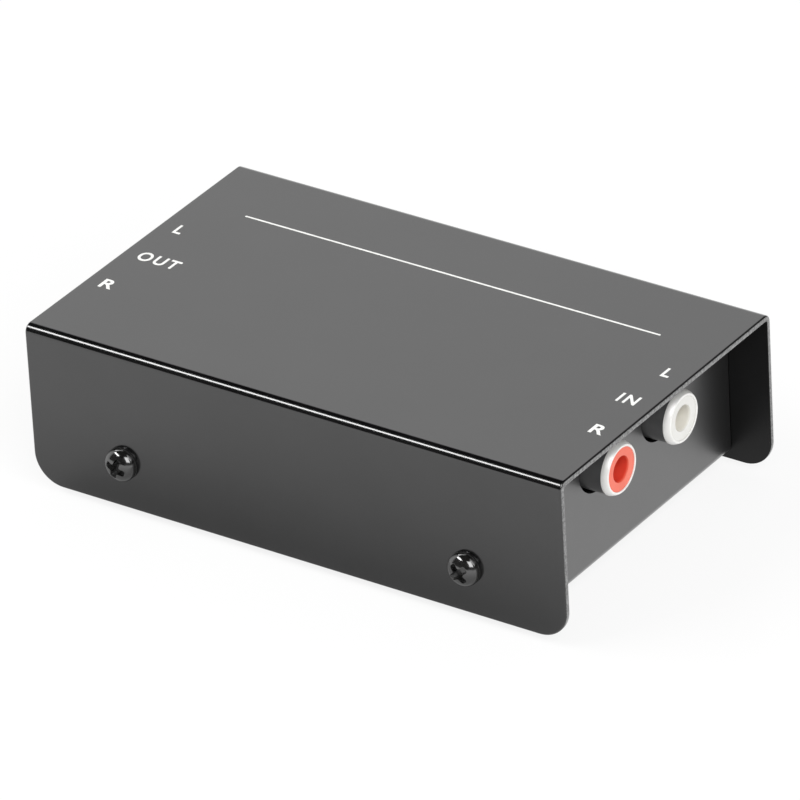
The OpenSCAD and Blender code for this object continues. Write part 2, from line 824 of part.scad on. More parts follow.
// An open frame with a pocket for each leg
module op_amp_socket() {
    rail = 1.6;
    pocket = [1, 0.8, socket_h];
    color([0.05, 0.05, 0.05])
    difference() {
        translate([-socket_l / 2, -socket_w / 2, board_top])
            cube([socket_l, socket_w, socket_h]);
        translate([-socket_l / 2 + rail, -op_amp_row / 2 + rail, board_top - cut])
            cube([socket_l - 2 * rail, op_amp_row - 2 * rail, socket_h + 2 * cut]);
        at_legs()
            translate([-pocket.x / 2, -pocket.y / 2, 1]) cube(pocket);
    }
}

// A dual in-line package, whose legs stand in the socket's pockets
module op_amp() {
    body_from = socket_h + 0.4;
    body_l = socket_l - 0.8;
    notch_r = 0.9;
    notch_depth = 0.6;
    leg_t = 0.25;
    leg_w = 0.5;
    leg_from = 1.4;
    leg_top = body_from + package_h / 2;
    reach = (op_amp_row - package_w) / 2 + 0.3;
    color([0.06, 0.06, 0.06]) {
        difference() {
            translate([-body_l / 2, -package_w / 2, board_top + body_from])
                cube([body_l, package_w, package_h]);
            // half-round notch at the end of pin one
            translate([-body_l / 2, 0, board_top + body_from + package_h - notch_depth])
                cylinder(r = notch_r, h = notch_depth + cut);
        }
        at_legs() {
            translate([-leg_w / 2, -leg_t / 2, leg_from]) cube([leg_w, leg_t, leg_top - leg_from]);
            translate([-leg_w / 2, -reach, leg_top - leg_t]) cube([leg_w, reach + leg_t / 2, leg_t]);
        }
    }
}

// A round can with a rubber bung end, a crimp above it and a scored top
module capacitor_can(d, h) {
    r = d / 2;
    waist = r - 0.35;
    waist_z = 1.8;
    edge = 0.5;
    score_w = 0.3;
    score_depth = 0.2;
    difference() {
        rotate_extrude()
            polygon([
                [0, 0], [r, 0], [r, waist_z - 0.6], [waist, waist_z - 0.2], [waist, waist_z + 0.2],
                [r, waist_z + 0.6], [r, h - edge], [r - edge, h], [0, h]
            ]);
        for (a = [0, 90])
            rotate([0, 0, a])
                translate([-r * 0.6, -score_w / 2, h - score_depth])
                    cube([r * 1.2, score_w, score_depth + cut]);
    }
}

module filter_capacitor() {
    color([0.1, 0.12, 0.3])
    translate([-filter_x, filter_y, board_top]) capacitor_can(filter_d, filter_h);
}

module signal_capacitors() {
    color([0.08, 0.08, 0.1])
    for (x = [-signal_x, signal_x], s = [-1, 1])
        translate([x, s * signal_y, board_top]) capacitor_can(signal_d, signal_h);
}

module film_capacitors() {
    lift = 0.5;
    color([0.7, 0.12, 0.1])
    for (s = [-1, 1], k = [0, 1])
        translate([film_x, s * (film_y + film_step * k), board_top]) {
            translate([0, 0, lift + film_h / 2]) cube([film_l, film_w, film_h], center = true);
            for (e = [-1, 1])
                translate([e * film_l / 3, 0, 0]) cylinder(d = leg_d, h = lift + 0.2);
        }
}

body_lift = 0.3;   // air under a body that lies over the board

// Two legs that leave a lying body along X and turn down to the board
module lying_legs(span, axis_h) {
    turn = 1;
    for (e = [0, 180])
        rotate([0, 0, e]) {
            along_x() translate([-axis_h, 0, 0]) cylinder(d = leg_d, h = span / 2 - turn);
            translate([span / 2 - turn, 0, axis_h - turn])
                rotate([90, 0, 0])
                    rotate_extrude(angle = 90) translate([turn, 0]) circle(d = leg_d);
            translate([span / 2, 0, 0]) cylinder(d = leg_d, h = axis_h - turn);
        }
}

// A resistor along X whose middle is over the origin of the board's surface
module resistor() {
    r = resistor_d / 2;
    axis_h = r + body_lift;
    waist = 0.8 * r;
    end_x = resistor_l / 2;
    lying_legs(resistor_span, axis_h);
    translate([0, 0, axis_h])
        along_x()
            rotate_extrude()
                polygon([
                    [0, -end_x], [waist, -end_x], [r, 0.5 - end_x], [r, 1.5 - end_x],
                    [waist, 1.9 - end_x], [waist, end_x - 1.9],
                    [r, end_x - 1.5], [r, end_x - 0.5], [waist, end_x], [0, end_x]
                ]);
}

module resistors() {
    color([0.35, 0.6, 0.75])
    for (s = [-1, 1], k = [0 : resistor_rows - 1])
        translate([-resistor_x, s * (resistor_y + resistor_step * k), board_top]) resistor();
}

module rectifier_diode() {
    r = 1.35;
    l = 5.2;
    color([0.06, 0.06, 0.06])
    translate([-diode_x, -diode_y, board_top]) {
        lying_legs(resistor_span, r + body_lift);
        translate([-l / 2, 0, r + body_lift]) along_x() cylinder(r = r, h = l);
    }
}

// A round package with one flat face, on three square legs
module voltage_regulator() {
    lift = 2.5;
    body_r = 2.4;
    body_h = 4.8;
    flat_y = 1.3;
    leg_w = 0.44;
    leg_pitch = 1.27;
    color([0.06, 0.06, 0.06])
    translate([-regulator_x, -regulator_y, board_top]) {
        translate([0, 0, lift])
            linear_extrude(body_h)
                intersection() {
                    circle(body_r);
                    translate([-body_r, -body_r]) square([2 * body_r, body_r + flat_y]);
                }
        for (x = [-leg_pitch, 0, leg_pitch])
            translate([x - leg_w / 2, -leg_w / 2, 0]) cube([leg_w, leg_w, lift + 0.3]);
    }
}

top_cover();
chassis();
cover_screws();
rubber_feet();
circuit_board();
board_standoffs();
board_screws();
input_jack_block();
input_sleeve_left();
input_sleeve_right();
input_insert_left();
input_insert_right();
input_contact_left();
input_contact_right();
output_jack_block();
output_sleeve_left();
output_sleeve_right();
output_insert_left();
output_insert_right();
output_contact_left();
output_contact_right();
inlet_housing();
inlet_pin();
inlet_spring();
ground_stud();
ground_nut();
ground_lug();
ground_wire();
ground_washer();
ground_thumb_nut();
op_amp_socket();
op_amp();
filter_capacitor();
signal_capacitors();
film_capacitors();
resistors();
rectifier_diode();
voltage_regulator();
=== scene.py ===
"""Looks of a small phono preamp: a folded steel case with phono jacks at both ends.

Lengths are millimetres and angles are degrees unless a name says otherwise. The frame is the
part's own: +X from the output end to the input end, +Y to the back, +Z up from the table.
"""

import json
import math

import bmesh
import bpy
from mathutils import Matrix, Vector


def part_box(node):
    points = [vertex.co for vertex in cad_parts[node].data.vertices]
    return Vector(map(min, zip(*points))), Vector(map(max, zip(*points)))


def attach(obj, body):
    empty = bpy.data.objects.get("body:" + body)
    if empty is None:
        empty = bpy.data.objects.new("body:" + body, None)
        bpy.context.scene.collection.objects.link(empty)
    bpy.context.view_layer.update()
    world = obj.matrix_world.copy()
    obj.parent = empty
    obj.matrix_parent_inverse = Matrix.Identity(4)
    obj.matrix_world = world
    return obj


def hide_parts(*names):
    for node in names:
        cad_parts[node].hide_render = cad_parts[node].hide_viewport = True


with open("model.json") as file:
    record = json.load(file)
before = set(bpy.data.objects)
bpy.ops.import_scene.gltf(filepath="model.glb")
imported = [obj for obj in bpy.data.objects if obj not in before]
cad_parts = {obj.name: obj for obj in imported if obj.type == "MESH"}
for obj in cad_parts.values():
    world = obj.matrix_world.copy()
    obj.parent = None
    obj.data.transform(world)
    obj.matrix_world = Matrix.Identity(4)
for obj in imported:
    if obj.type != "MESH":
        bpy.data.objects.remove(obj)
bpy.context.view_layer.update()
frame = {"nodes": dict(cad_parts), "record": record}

MM = 0.001

# ------------ what the frame says


def box_of(node):
    """Lowest and highest corner of a node, in millimetres."""
    low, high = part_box(node)
    return low / MM, high / MM


def middle_of(node):
    """Middle of a node's box."""
    low, high = box_of(node)
    return (low + high) / 2


cover_low, cover_high = box_of("top_cover")
jack_tip_x = box_of("input_sleeve_left")[1].x
jack_y = middle_of("input_insert_left").y
jack_z = middle_of("input_insert_left").z
terminal_y = middle_of("ground_thumb_nut").y
terminal_z = middle_of("ground_thumb_nut").z

BORE_R = 2.0            # bore of a jack's insert
CASE_MIDDLE = 13.0      # height of a point that all the faces inside the case look towards

# ------------ mesh work


ON_AXIS = 1e-6          # a corner nearer to the axis than this is a point
WELD = 1e-7             # corners of a solid nearer than this are one, in metres
FLAT = 0.4              # faces of a solid that turn by less than this are one
EASE_OVER = 40          # edges sharper than this are rounded
EASE_STEPS = 3


def turns(steps):
    """The angles of a full circle, in radians."""
    return [2 * math.pi * step / steps for step in range(steps)]


def arc(centre, radius, start, end, steps):
    """Points along part of a circle, both ends included."""
    points = []
    for step in range(steps + 1):
        turn = math.radians(start + (end - start) * step / steps)
        points.append((centre[0] + radius * math.cos(turn), centre[1] + radius * math.sin(turn)))
    return points


def eased(corners, steps=5):
    """A closed outline from corners (a, b) and rounded corners (a, b, radius)."""
    outline = []
    for index, corner in enumerate(corners):
        here = Vector(corner[:2])
        if len(corner) == 2:
            outline.append(tuple(here))
            continue
        radius = corner[2]
        before = (Vector(corners[index - 1][:2]) - here).normalized()
        after = (Vector(corners[(index + 1) % len(corners)][:2]) - here).normalized()
        half = before.angle(after) / 2
        centre = here + (before + after).normalized() * radius / math.sin(half)
        first = here + before * radius / math.tan(half) - centre
        last = here + after * radius / math.tan(half) - centre
        sweep = math.atan2(first.cross(last), first.dot(last))
        start = math.atan2(first.y, first.x)
        for step in range(steps + 1):
            turn = start + sweep * step / steps
            outline.append((centre.x + radius * math.cos(turn), centre.y + radius * math.sin(turn)))
    return outline


def join_rings(mesh, ring, following):
    """Faces between two closed rings of corners. A ring of one corner is a point."""
    count = max(len(ring), len(following))
    for step in range(count if len(ring) + len(following) > 2 else 0):
        corners = []
        for pair in ((ring, step), (ring, step + 1), (following, step + 1), (following, step)):
            corner = pair[0][pair[1] % len(pair[0])]
            if corner not in corners:
                corners.append(corner)
        mesh.faces.new(corners)


def turned(profile, steps=96, limit=None):
    """A solid spun about +Z from a closed outline of (radius, height) points.

    limit gives the largest radius at a turn and a height, such as flats, a knurl or a thread.
    """
    mesh = bmesh.new()
    rings = []
    for radius, height in profile:
        if radius < ON_AXIS:
            rings.append([mesh.verts.new((0, 0, height))])
            continue
        ring = []
        for turn in turns(steps):
            reach = min(radius, limit(turn, height)) if limit else radius
            ring.append(mesh.verts.new((reach * math.cos(turn), reach * math.sin(turn), height)))
        rings.append(ring)
    for ring, following in zip(rings, rings[1:] + rings[:1]):
        join_rings(mesh, ring, following)
    return mesh


def lofted(outlines):
    """A solid through closed outlines of equally many points, each given with its height."""
    mesh = bmesh.new()
    rings = [[mesh.verts.new((a, b, height)) for a, b in outline] for outline, height in outlines]
    for ring, following in zip(rings, rings[1:]):
        join_rings(mesh, ring, following)
    mesh.faces.new(reversed(rings[0]))
    mesh.faces.new(rings[-1])
    return mesh


def placed(name, data):
    """A new object in the scene."""
    shown = bpy.data.objects.new(name, data)
    bpy.context.scene.collection.objects.link(shown)
    return shown


def settled(name, mesh):
    """A new object in the scene from a mesh, which is freed."""
    data = bpy.data.meshes.new(name)
    mesh.to_mesh(data)
    mesh.free()
    return placed(name, data)


def carved(solid, cutter):
    """The solid less the cutter."""
    blocks = []
    for mesh in (solid, cutter):
        bmesh.ops.recalc_face_normals(mesh, faces=mesh.faces)
        blocks.append(settled("block", mesh))
    less = blocks[0].modifiers.new("Less", "BOOLEAN")
    less.object = blocks[1]
    less.solver = "EXACT"
    result = bmesh.new()
    result.from_object(blocks[0], bpy.context.evaluated_depsgraph_get())
    for block in blocks:
        bpy.data.meshes.remove(block.data)
    return result


def cad_solid(node):
    """A node's own solid in millimetres, with its flat faces whole again."""
    mesh = bmesh.new()
    mesh.from_mesh(frame["nodes"][node].data)
    bmesh.ops.remove_doubles(mesh, verts=mesh.verts, dist=WELD)
    bmesh.ops.dissolve_limit(mesh, angle_limit=math.radians(FLAT), verts=mesh.verts, edges=mesh.edges)
    mesh.transform(Matrix.Scale(1 / MM, 4))
    return mesh


def piece(name, mesh, finish, body="case", nodes=(), place=None, ease=0, sharp=35):
    """Makes a mesh in millimetres into a piece that rides on a body and stands for nodes.

    ease is the width of the rounding on its sharp edges. Without it, edges over the angle sharp
    show as sharp ones.
    """
    mesh.transform(Matrix.Scale(MM, 4) @ (place or Matrix()))
    bmesh.ops.recalc_face_normals(mesh, faces=mesh.faces)
    shown = settled(name, mesh)
    data = shown.data
    data.polygons.foreach_set("use_smooth", [True] * len(data.polygons))
    data.materials.append(finish)
    if ease:
        rounding = shown.modifiers.new("Broken edges", "BEVEL")
        rounding.limit_method = "ANGLE"
        rounding.angle_limit = math.radians(EASE_OVER)
        rounding.width = ease * MM
        rounding.segments = EASE_STEPS
    else:
        data.set_sharp_from_angle(angle=math.radians(sharp))
    even = shown.modifiers.new("Even normals", "WEIGHTED_NORMAL")
    even.keep_sharp = True
    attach(shown, body)
    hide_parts(*nodes)
    return shown


def facing(end, x, y, z):
    """Points +Z out of one end of the case (1 is the input end) and moves it there."""
    return Matrix.Translation((x, y, z)) @ Matrix.Rotation(math.radians(90 * end), 4, "Y")


def corner_name(word, end, side):
    """Names one of four equal pieces after its end of the case and its side."""
    return "{}_{}_{}".format(word, "in" if end > 0 else "out", "front" if side < 0 else "back")


# ------------ shader work


class Bench:
    """Adds nodes to a shader tree and wires them."""

    def __init__(self, tree):
        self.tree = tree

    def put(self, kind, settings=None, **feeds):
        """A node of that kind with its settings and with values or sockets fed to its inputs."""
        node = self.tree.nodes.new(kind)
        for key, value in (settings or {}).items():
            setattr(node, key, value)
        for key, value in feeds.items():
            self.feed(node.inputs[key.replace("_", " ")], value)
        return node

    def feed(self, socket, value):
        """Gives an input a value, or wires another node's output to it."""
        if isinstance(value, bpy.types.NodeSocket):
            self.tree.links.new(value, socket)
        else:
            socket.default_value = value

    def sum(self, operation, first, second=0.0, third=0.0):
        """One step of arithmetic."""
        node = self.put("ShaderNodeMath", {"operation": operation})
        for socket, value in zip(node.inputs, (first, second, third)):
            self.feed(socket, value)
        return node.outputs[0]

    def between(self, operation, first, second):
        """The node for one step of arithmetic on two vectors."""
        node = self.put("ShaderNodeVectorMath", {"operation": operation})
        self.feed(node.inputs[0], first)
        self.feed(node.inputs[1], second)
        return node

    def ramp(self, value, low, high, out_low=0.0, out_high=1.0):
        """A smooth step of a value from one range to another."""
        feeds = {"Value": value, "From_Min": low, "From_Max": high, "To_Min": out_low, "To_Max": out_high}
        return self.put("ShaderNodeMapRange", {"interpolation_type": "SMOOTHSTEP"}, **feeds).outputs[0]

    def mix(self, share, first, second):
        """A blend of two colours."""
        node = self.put("ShaderNodeMix", {"data_type": "RGBA"})
        for index, value in ((0, share), (6, first), (7, second)):
            self.feed(node.inputs[index], value)
        return node.outputs[2]

    def noise(self, coordinates, scale, detail=2.0, roughness=0.5):
        """Soft noise that is finer where the scale is larger."""
        feeds = {"Vector": coordinates, "Scale": scale, "Detail": detail, "Roughness": roughness}
        return self.put("ShaderNodeTexNoise", **feeds).outputs[0]

    def noise_of_size(self, size, detail=2.0, roughness=0.5):
        """Noise over the surface, with patches of about that many millimetres."""
        return self.noise(self.millimetres(), self.sum("DIVIDE", 1.0, size), detail, roughness)

    def millimetres(self):
        """The point on the surface, in millimetres of the part's frame."""
        where = self.put("ShaderNodeTexCoord").outputs["Object"]
        return self.put("ShaderNodeVectorMath", {"operation": "SCALE"}, Vector=where, Scale=1 / MM).outputs[0]

    def along(self):
        """X, Y and Z of that point."""
        return self.put("ShaderNodeSeparateXYZ", Vector=self.millimetres()).outputs

    def normal(self):
        """The surface's own normal."""
        return self.put("ShaderNodeNewGeometry").outputs["Normal"]

    def open_sky(self, reach):
        """How open the surface is within that many metres."""
        return self.put("ShaderNodeAmbientOcclusion", {"samples": 4}, Distance=reach).outputs["AO"]

    def use(self, group, **feeds):
        """Places an effect with its own values and gives its outputs."""
        return self.put("ShaderNodeGroup", {"node_tree": group}, **feeds).outputs


def effect(name, inputs, outputs):
    """A node group: its bench, its input sockets by name and its output node."""
    tree = bpy.data.node_groups.new(name, "ShaderNodeTree")
    for way, sockets in (("INPUT", inputs), ("OUTPUT", outputs)):
        for label, default in sockets.items():
            kind = "NodeSocketColor" if isinstance(default, tuple) else "NodeSocketFloat"
            socket = tree.interface.new_socket(name=label, in_out=way, socket_type=kind)
            socket.default_value = default
    source = tree.nodes.new("NodeGroupInput")
    return Bench(tree), source.outputs, tree.nodes.new("NodeGroupOutput")


def skin_effect():
    """The slight waviness and fine grain of a painted, moulded or rubber skin, as a height."""
    inputs = {"Wave size": 1.0, "Grain size": 0.1, "Grain share": 0.3}
    bench, given, out = effect("Skin", inputs, {"Height": 0.0})
    wave = bench.noise_of_size(given["Wave size"], 1.0)
    grain = bench.noise_of_size(given["Grain size"])
    height = bench.sum("MULTIPLY_ADD", bench.sum("SUBTRACT", grain, wave), given["Grain share"], wave)
    bench.feed(out.inputs["Height"], height)
    return bench.tree


def drift_effect():
    """A colour that drifts slowly to a second shade over the surface."""
    grey = (0.5, 0.5, 0.5, 1.0)
    inputs = {"Colour": grey, "Shade": grey, "Patch size": 12.0, "Contrast": 0.5}
    bench, given, out = effect("Tone drift", inputs, {"Colour": grey})
    patch = bench.noise_of_size(given["Patch size"], 4.0, 0.6)
    low = bench.sum("MULTIPLY_ADD", given["Contrast"], -0.25, 0.5)
    high = bench.sum("MULTIPLY_ADD", given["Contrast"], 0.25, 0.501)
    bench.feed(out.inputs["Colour"], bench.mix(bench.ramp(patch, low, high), given["Colour"], given["Shade"]))
    return bench.tree


def sheen_effect():
    """Roughness with faint smudges, as on a surface that has been handled."""
    inputs = {"Roughness": 0.3, "Spread": 0.05, "Patch size": 8.0}
    bench, given, out = effect("Handled sheen", inputs, {"Roughness": 0.3})
    swing = bench.sum("MULTIPLY_ADD", bench.noise_of_size(given["Patch size"], 5.0, 0.65), 2.0, -1.0)
    sheen = bench.sum("MULTIPLY_ADD", swing, given["Spread"], given["Roughness"])
    bench.feed(out.inputs["Roughness"], sheen)
    return bench.tree


def edge_effect():
    """A mask of the outward edges, broken up where the coat stayed on."""
    bench, given, out = effect("Thin edges", {"Width": 0.2, "Cover": 0.5}, {"Mask": 0.0})
    radius = bench.sum("MULTIPLY", given["Width"], MM)
    rounded = bench.put("ShaderNodeBevel", {"samples": 4}, Radius=radius).outputs[0]
    bend = bench.sum("SUBTRACT", 1.0, bench.between("DOT_PRODUCT", rounded, bench.normal()).outputs["Value"])
    breaks = bench.ramp(bench.noise(bench.millimetres(), 2.5, 3.0), given["Cover"], 0.85)
    bench.feed(out.inputs["Mask"], bench.sum("MULTIPLY", bench.ramp(bend, 0.01, 0.12), breaks))
    return bench.tree


def deep_effect():
    """A mask of recesses and corners, where oil and dust stay."""
    bench, given, out = effect("Deep places", {"Reach": 1.0}, {"Mask": 0.0})
    open_sky = bench.open_sky(bench.sum("MULTIPLY", given["Reach"], MM))
    bench.feed(out.inputs["Mask"], bench.ramp(open_sky, 0.35, 0.8, 1.0, 0.0))
    return bench.tree


def cut_effect():
    """A mask of the sheared faces at both ends of a sheet, in streaks: partly bare steel where the coat is
    thin, partly a painted reflection.
    """
    bench, given, out = effect("Sheared faces", {"Streak size": 0.5}, {"Mask": 0.0})
    normal = bench.put("ShaderNodeSeparateXYZ", Vector=bench.normal())
    ends = bench.ramp(bench.sum("ABSOLUTE", normal.outputs[0]), 0.8, 0.97)
    streak = bench.ramp(bench.noise_of_size(given["Streak size"], 3.0, 0.7), 0.25, 0.75)
    bench.feed(out.inputs["Mask"], bench.sum("MULTIPLY", ends, streak))
    return bench.tree


def inner_effect():
    """A mask of the faces that look towards a point in the case's middle, Height up."""
    bench, given, out = effect("Inner faces", {"Height": 10.0}, {"Mask": 0.0})
    middle = bench.put("ShaderNodeCombineXYZ", Z=given["Height"]).outputs[0]
    outward = bench.between("SUBTRACT", bench.millimetres(), middle).outputs[0]
    facing_out = bench.between("DOT_PRODUCT", outward, bench.normal()).outputs["Value"]
    bench.feed(out.inputs["Mask"], bench.ramp(facing_out, -2.0, 0.0, 1.0, 0.0))
    return bench.tree


def radius_about(bench, given):
    """Distance from the axis along X that Across and Up give, on either side of the middle."""
    where = bench.along()
    side = bench.sum("SUBTRACT", bench.sum("ABSOLUTE", where[1]), given["Across"])
    rise = bench.sum("SUBTRACT", where[2], given["Up"])
    return bench.sum("SQRT", bench.sum("MULTIPLY_ADD", side, side, bench.sum("MULTIPLY", rise, rise)))


def bore_effect():
    """A mask of the inside of a bore round an axis along X, where the jacks get their painted shade and
    painted light.
    """
    inputs = {"Across": 0.0, "Up": 0.0, "Bore": 2.0}
    bench, given, out = effect("Inside of a bore", inputs, {"Mask": 0.0})
    inside_by = bench.sum("SUBTRACT", given["Bore"], radius_about(bench, given))
    bench.feed(out.inputs["Mask"], bench.ramp(inside_by, -0.15, 0.1))
    return bench.tree


def lathe_effect():
    """Fine rings that a lathe leaves round an axis along X, as a height and as a mask."""
    inputs = {"Across": 0.0, "Up": 0.0, "Ring pitch": 0.1}
    bench, given, out = effect("Lathe rings", inputs, {"Height": 0.0, "Mask": 0.0})
    run = bench.sum("ADD", bench.along()[0], radius_about(bench, given))
    passes = bench.sum("DIVIDE", run, given["Ring pitch"])
    line = bench.put("ShaderNodeTexNoise", {"noise_dimensions": "1D"}, W=passes, Scale=1.0, Detail=2.0)
    bench.feed(out.inputs["Height"], line.outputs[0])
    bench.feed(out.inputs["Mask"], bench.ramp(line.outputs[0], 0.35, 0.65))
    return bench.tree


skin = skin_effect()
tone_drift = drift_effect()
handled_sheen = sheen_effect()
thin_edges = edge_effect()
deep_places = deep_effect()
sheared_faces = cut_effect()
bore_inside = bore_effect()
inner_faces = inner_effect()
lathe_rings = lathe_effect()


class Finish(Bench):
    """A new material with its shader, and the shader's constants set."""

    def __init__(self, name, **constants):
        self.material = bpy.data.materials.new(name)
        self.material.use_nodes = True
        super().__init__(self.material.node_tree)
        self.shader = self.tree.nodes["Principled BSDF"]
        for key, value in constants.items():
            self.give(key.replace("_", " "), value)

    def give(self, label, value):
        """Gives the shader's input of that name a value or a socket."""
        self.feed(self.shader.inputs[label], value)

    def tones(self, colour, shade, size, contrast=0.5):
        """A colour that drifts to a second shade in patches of that size."""
        return self.use(tone_drift, Colour=colour, Shade=shade, Patch_size=size, Contrast=contrast)[0]

    def sheen(self, roughness, spread, size):
        """Roughness with smudges of that size."""
        return self.use(handled_sheen, Roughness=roughness, Spread=spread, Patch_size=size)[0]

    def grain(self, wave, grain, share):
        """Height of a skin with waves and grain of those sizes."""
        return self.use(skin, Wave_size=wave, Grain_size=grain, Grain_share=share)[0]

    def relief(self, height, depth):
        """Feeds a height to the shader's normal. depth is how deep its full range is."""
        bump = self.put("ShaderNodeBump", Height=height, Distance=depth * MM, Strength=1.0)
        self.give("Normal", bump.outputs[0])


def rgb(red, green, blue):
    """An opaque colour."""
    return (red, green, blue, 1.0)


WHITE = rgb(1, 1, 1)


# ------------ finishes


def paint(name, colour, shade, roughness, ior, coat, coat_ior, sheared):
    """Satin stoving enamel under a clear coat: near black, a little wavy, thin on the edges.

    The inside got no clear coat. sheared is how much lighter grey goes on the sheared end faces: partly bare
    steel, partly a painted reflection.
    """
    enamel = Finish(name, IOR=ior, Coat_IOR=coat_ior, Coat_Roughness=0.8 * roughness)
    body = enamel.tones(colour, shade, 14.0, 0.8)
    edges = enamel.use(thin_edges, Width=0.2, Cover=0.45)[0]
    worn = enamel.mix(enamel.sum("MULTIPLY", edges, 0.2), body, rgb(0.12, 0.12, 0.124))
    # Lighter grey on the sheared end faces: partly bare steel where the coat is thin, partly a painted
    # reflection of the floor.
    ends = enamel.use(sheared_faces, Streak_size=0.5)[0]
    enamel.give("Base Color", enamel.mix(enamel.sum("MULTIPLY", ends, sheared), worn, rgb(0.30, 0.30, 0.30)))
    inside = enamel.use(inner_faces, Height=CASE_MIDDLE)[0]
    enamel.give("Coat Weight", enamel.sum("MULTIPLY_ADD", inside, -coat, coat))
    sheen = enamel.sheen(roughness, 0.035, 9.0)
    enamel.give("Roughness", enamel.sum("MULTIPLY_ADD", inside, 0.25, sheen))
    enamel.relief(enamel.grain(1.1, 0.14, 0.35), 0.006)
    return enamel.material


def black_oxide():
    """Oiled black oxide on turned steel screws, brighter where the driver and the seat rub."""
    oxide = Finish("black_oxide", IOR=2.05)
    body = oxide.tones(rgb(0.003, 0.003, 0.003), rgb(0.008, 0.008, 0.0075), 1.5)
    edges = oxide.use(thin_edges, Width=0.12, Cover=0.45)[0]
    oxide.give("Base Color", oxide.mix(oxide.sum("MULTIPLY", edges, 0.5), body, rgb(0.12, 0.115, 0.11)))
    hidden = oxide.use(deep_places, Reach=1.0)["Mask"]
    oxide.give("Roughness", oxide.sum("MULTIPLY_ADD", hidden, 0.55, oxide.sheen(0.13, 0.05, 1.2)))
    oxide.relief(oxide.grain(0.5, 0.07, 0.4), 0.004)
    return oxide.material


def moulded(name, colour, shade, roughness, grain=0.2, depth=0.004, inside=None):
    """Moulded plastic or a dipped coat, with a faint mould texture.

    inside is a colour painted into the bore of a jack: painted shade where it is darker than the plastic,
    painted light where it is lighter and warmer.
    """
    plastic = Finish(name, IOR=1.5)
    body = plastic.tones(colour, shade, 5.0, 0.9)
    # Painted light in the bore: its colour is darker for painted shade in the red jack, lighter and warmer
    # for painted light in the white one.
    if inside:
        bore = plastic.use(bore_inside, Across=jack_y, Up=jack_z, Bore=BORE_R)[0]
        body = plastic.mix(bore, body, inside)
    plastic.give("Base Color", body)
    plastic.give("Roughness", plastic.sheen(roughness, 0.04, 3.0))
    plastic.relief(plastic.grain(0.9, grain, 0.5), depth)
    return plastic.material


def rubber():
    """Matt black rubber, dusty in its grain."""
    matt = Finish("foot_rubber", IOR=1.5)
    grain = matt.grain(0.8, 0.16, 0.7)
    body = matt.tones(rgb(0.014, 0.014, 0.014), rgb(0.03, 0.03, 0.029), 3.0)
    dust = matt.sum("MULTIPLY", matt.ramp(grain, 0.5, 0.75), 0.3)
    matt.give("Base Color", matt.mix(dust, body, rgb(0.07, 0.068, 0.065)))
    matt.give("Roughness", matt.sheen(0.72, 0.1, 2.0))
    matt.relief(grain, 0.03)
    return matt.material


def plated(name, colour, shade, roughness, across=0.0, up=0.0, metallic=1.0):
    """Plated metal with fine lathe rings round the axis at that place."""
    plate = Finish(name, Metallic=metallic)
    body = plate.tones(colour, shade, 2.5, 0.8)
    rings = plate.use(lathe_rings, Across=across, Up=up, Ring_pitch=0.12)
    plate.give("Base Color", plate.mix(plate.sum("MULTIPLY", rings["Mask"], 0.12), body, shade))
    sheen = plate.sheen(roughness, 0.04, 1.6)
    plate.give("Roughness", plate.sum("MULTIPLY_ADD", rings["Mask"], 0.03, sheen))
    plate.relief(rings["Height"], 0.0015)
    return plate.material


def ink():
    """White screen print: matt, a little uneven at the mesh's scale."""
    white = Finish("print_ink", IOR=1.5)
    white.give("Base Color", white.tones(rgb(0.88, 0.88, 0.86), rgb(0.80, 0.80, 0.78), 1.0))
    white.give("Roughness", white.sheen(0.5, 0.06, 0.6))
    white.relief(white.grain(0.3, 0.08, 0.4), 0.003)
    return white.material


def board_lacquer():
    """Green solder lacquer over glass cloth and copper tracks."""
    lacquer = Finish("board_lacquer", IOR=1.5)
    settings = {"distance": "MANHATTAN"}
    tracks = lacquer.put("ShaderNodeTexVoronoi", settings, Vector=lacquer.millimetres(), Scale=0.25)
    copper = lacquer.ramp(tracks.outputs["Distance"], 1.05, 1.2)
    threads = [lacquer.sum("SINE", lacquer.sum("MULTIPLY", way, 9.0)) for way in lacquer.along()[:2]]
    weave = lacquer.sum("MULTIPLY", *threads)
    body = lacquer.tones(rgb(0.012, 0.085, 0.035), rgb(0.016, 0.11, 0.045), 8.0)
    lacquer.give("Base Color", lacquer.mix(copper, body, rgb(0.03, 0.2, 0.09)))
    lacquer.give("Roughness", lacquer.sheen(0.3, 0.05, 6.0))
    lacquer.relief(lacquer.sum("MULTIPLY_ADD", weave, 0.15, copper), 0.01)
    return lacquer.material


def banded_coat():
    """Blue dipped lacquer with colour bands across the resistors, which lie along X."""
    dip = Finish("resistor_coat", IOR=1.5)
    phase = dip.sum("FRACT", dip.sum("MULTIPLY", dip.along()[0], 0.8))
    band = dip.sum("MULTIPLY", dip.ramp(phase, 0.55, 0.6), 0.85)
    body = dip.tones(rgb(0.1, 0.32, 0.5), rgb(0.08, 0.26, 0.42), 2.0)
    dip.give("Base Color", dip.mix(band, body, rgb(0.16, 0.05, 0.02)))
    dip.give("Roughness", dip.sheen(0.28, 0.04, 2.0))
    dip.relief(dip.grain(0.8, 0.2, 0.2), 0.01)
    return dip.material


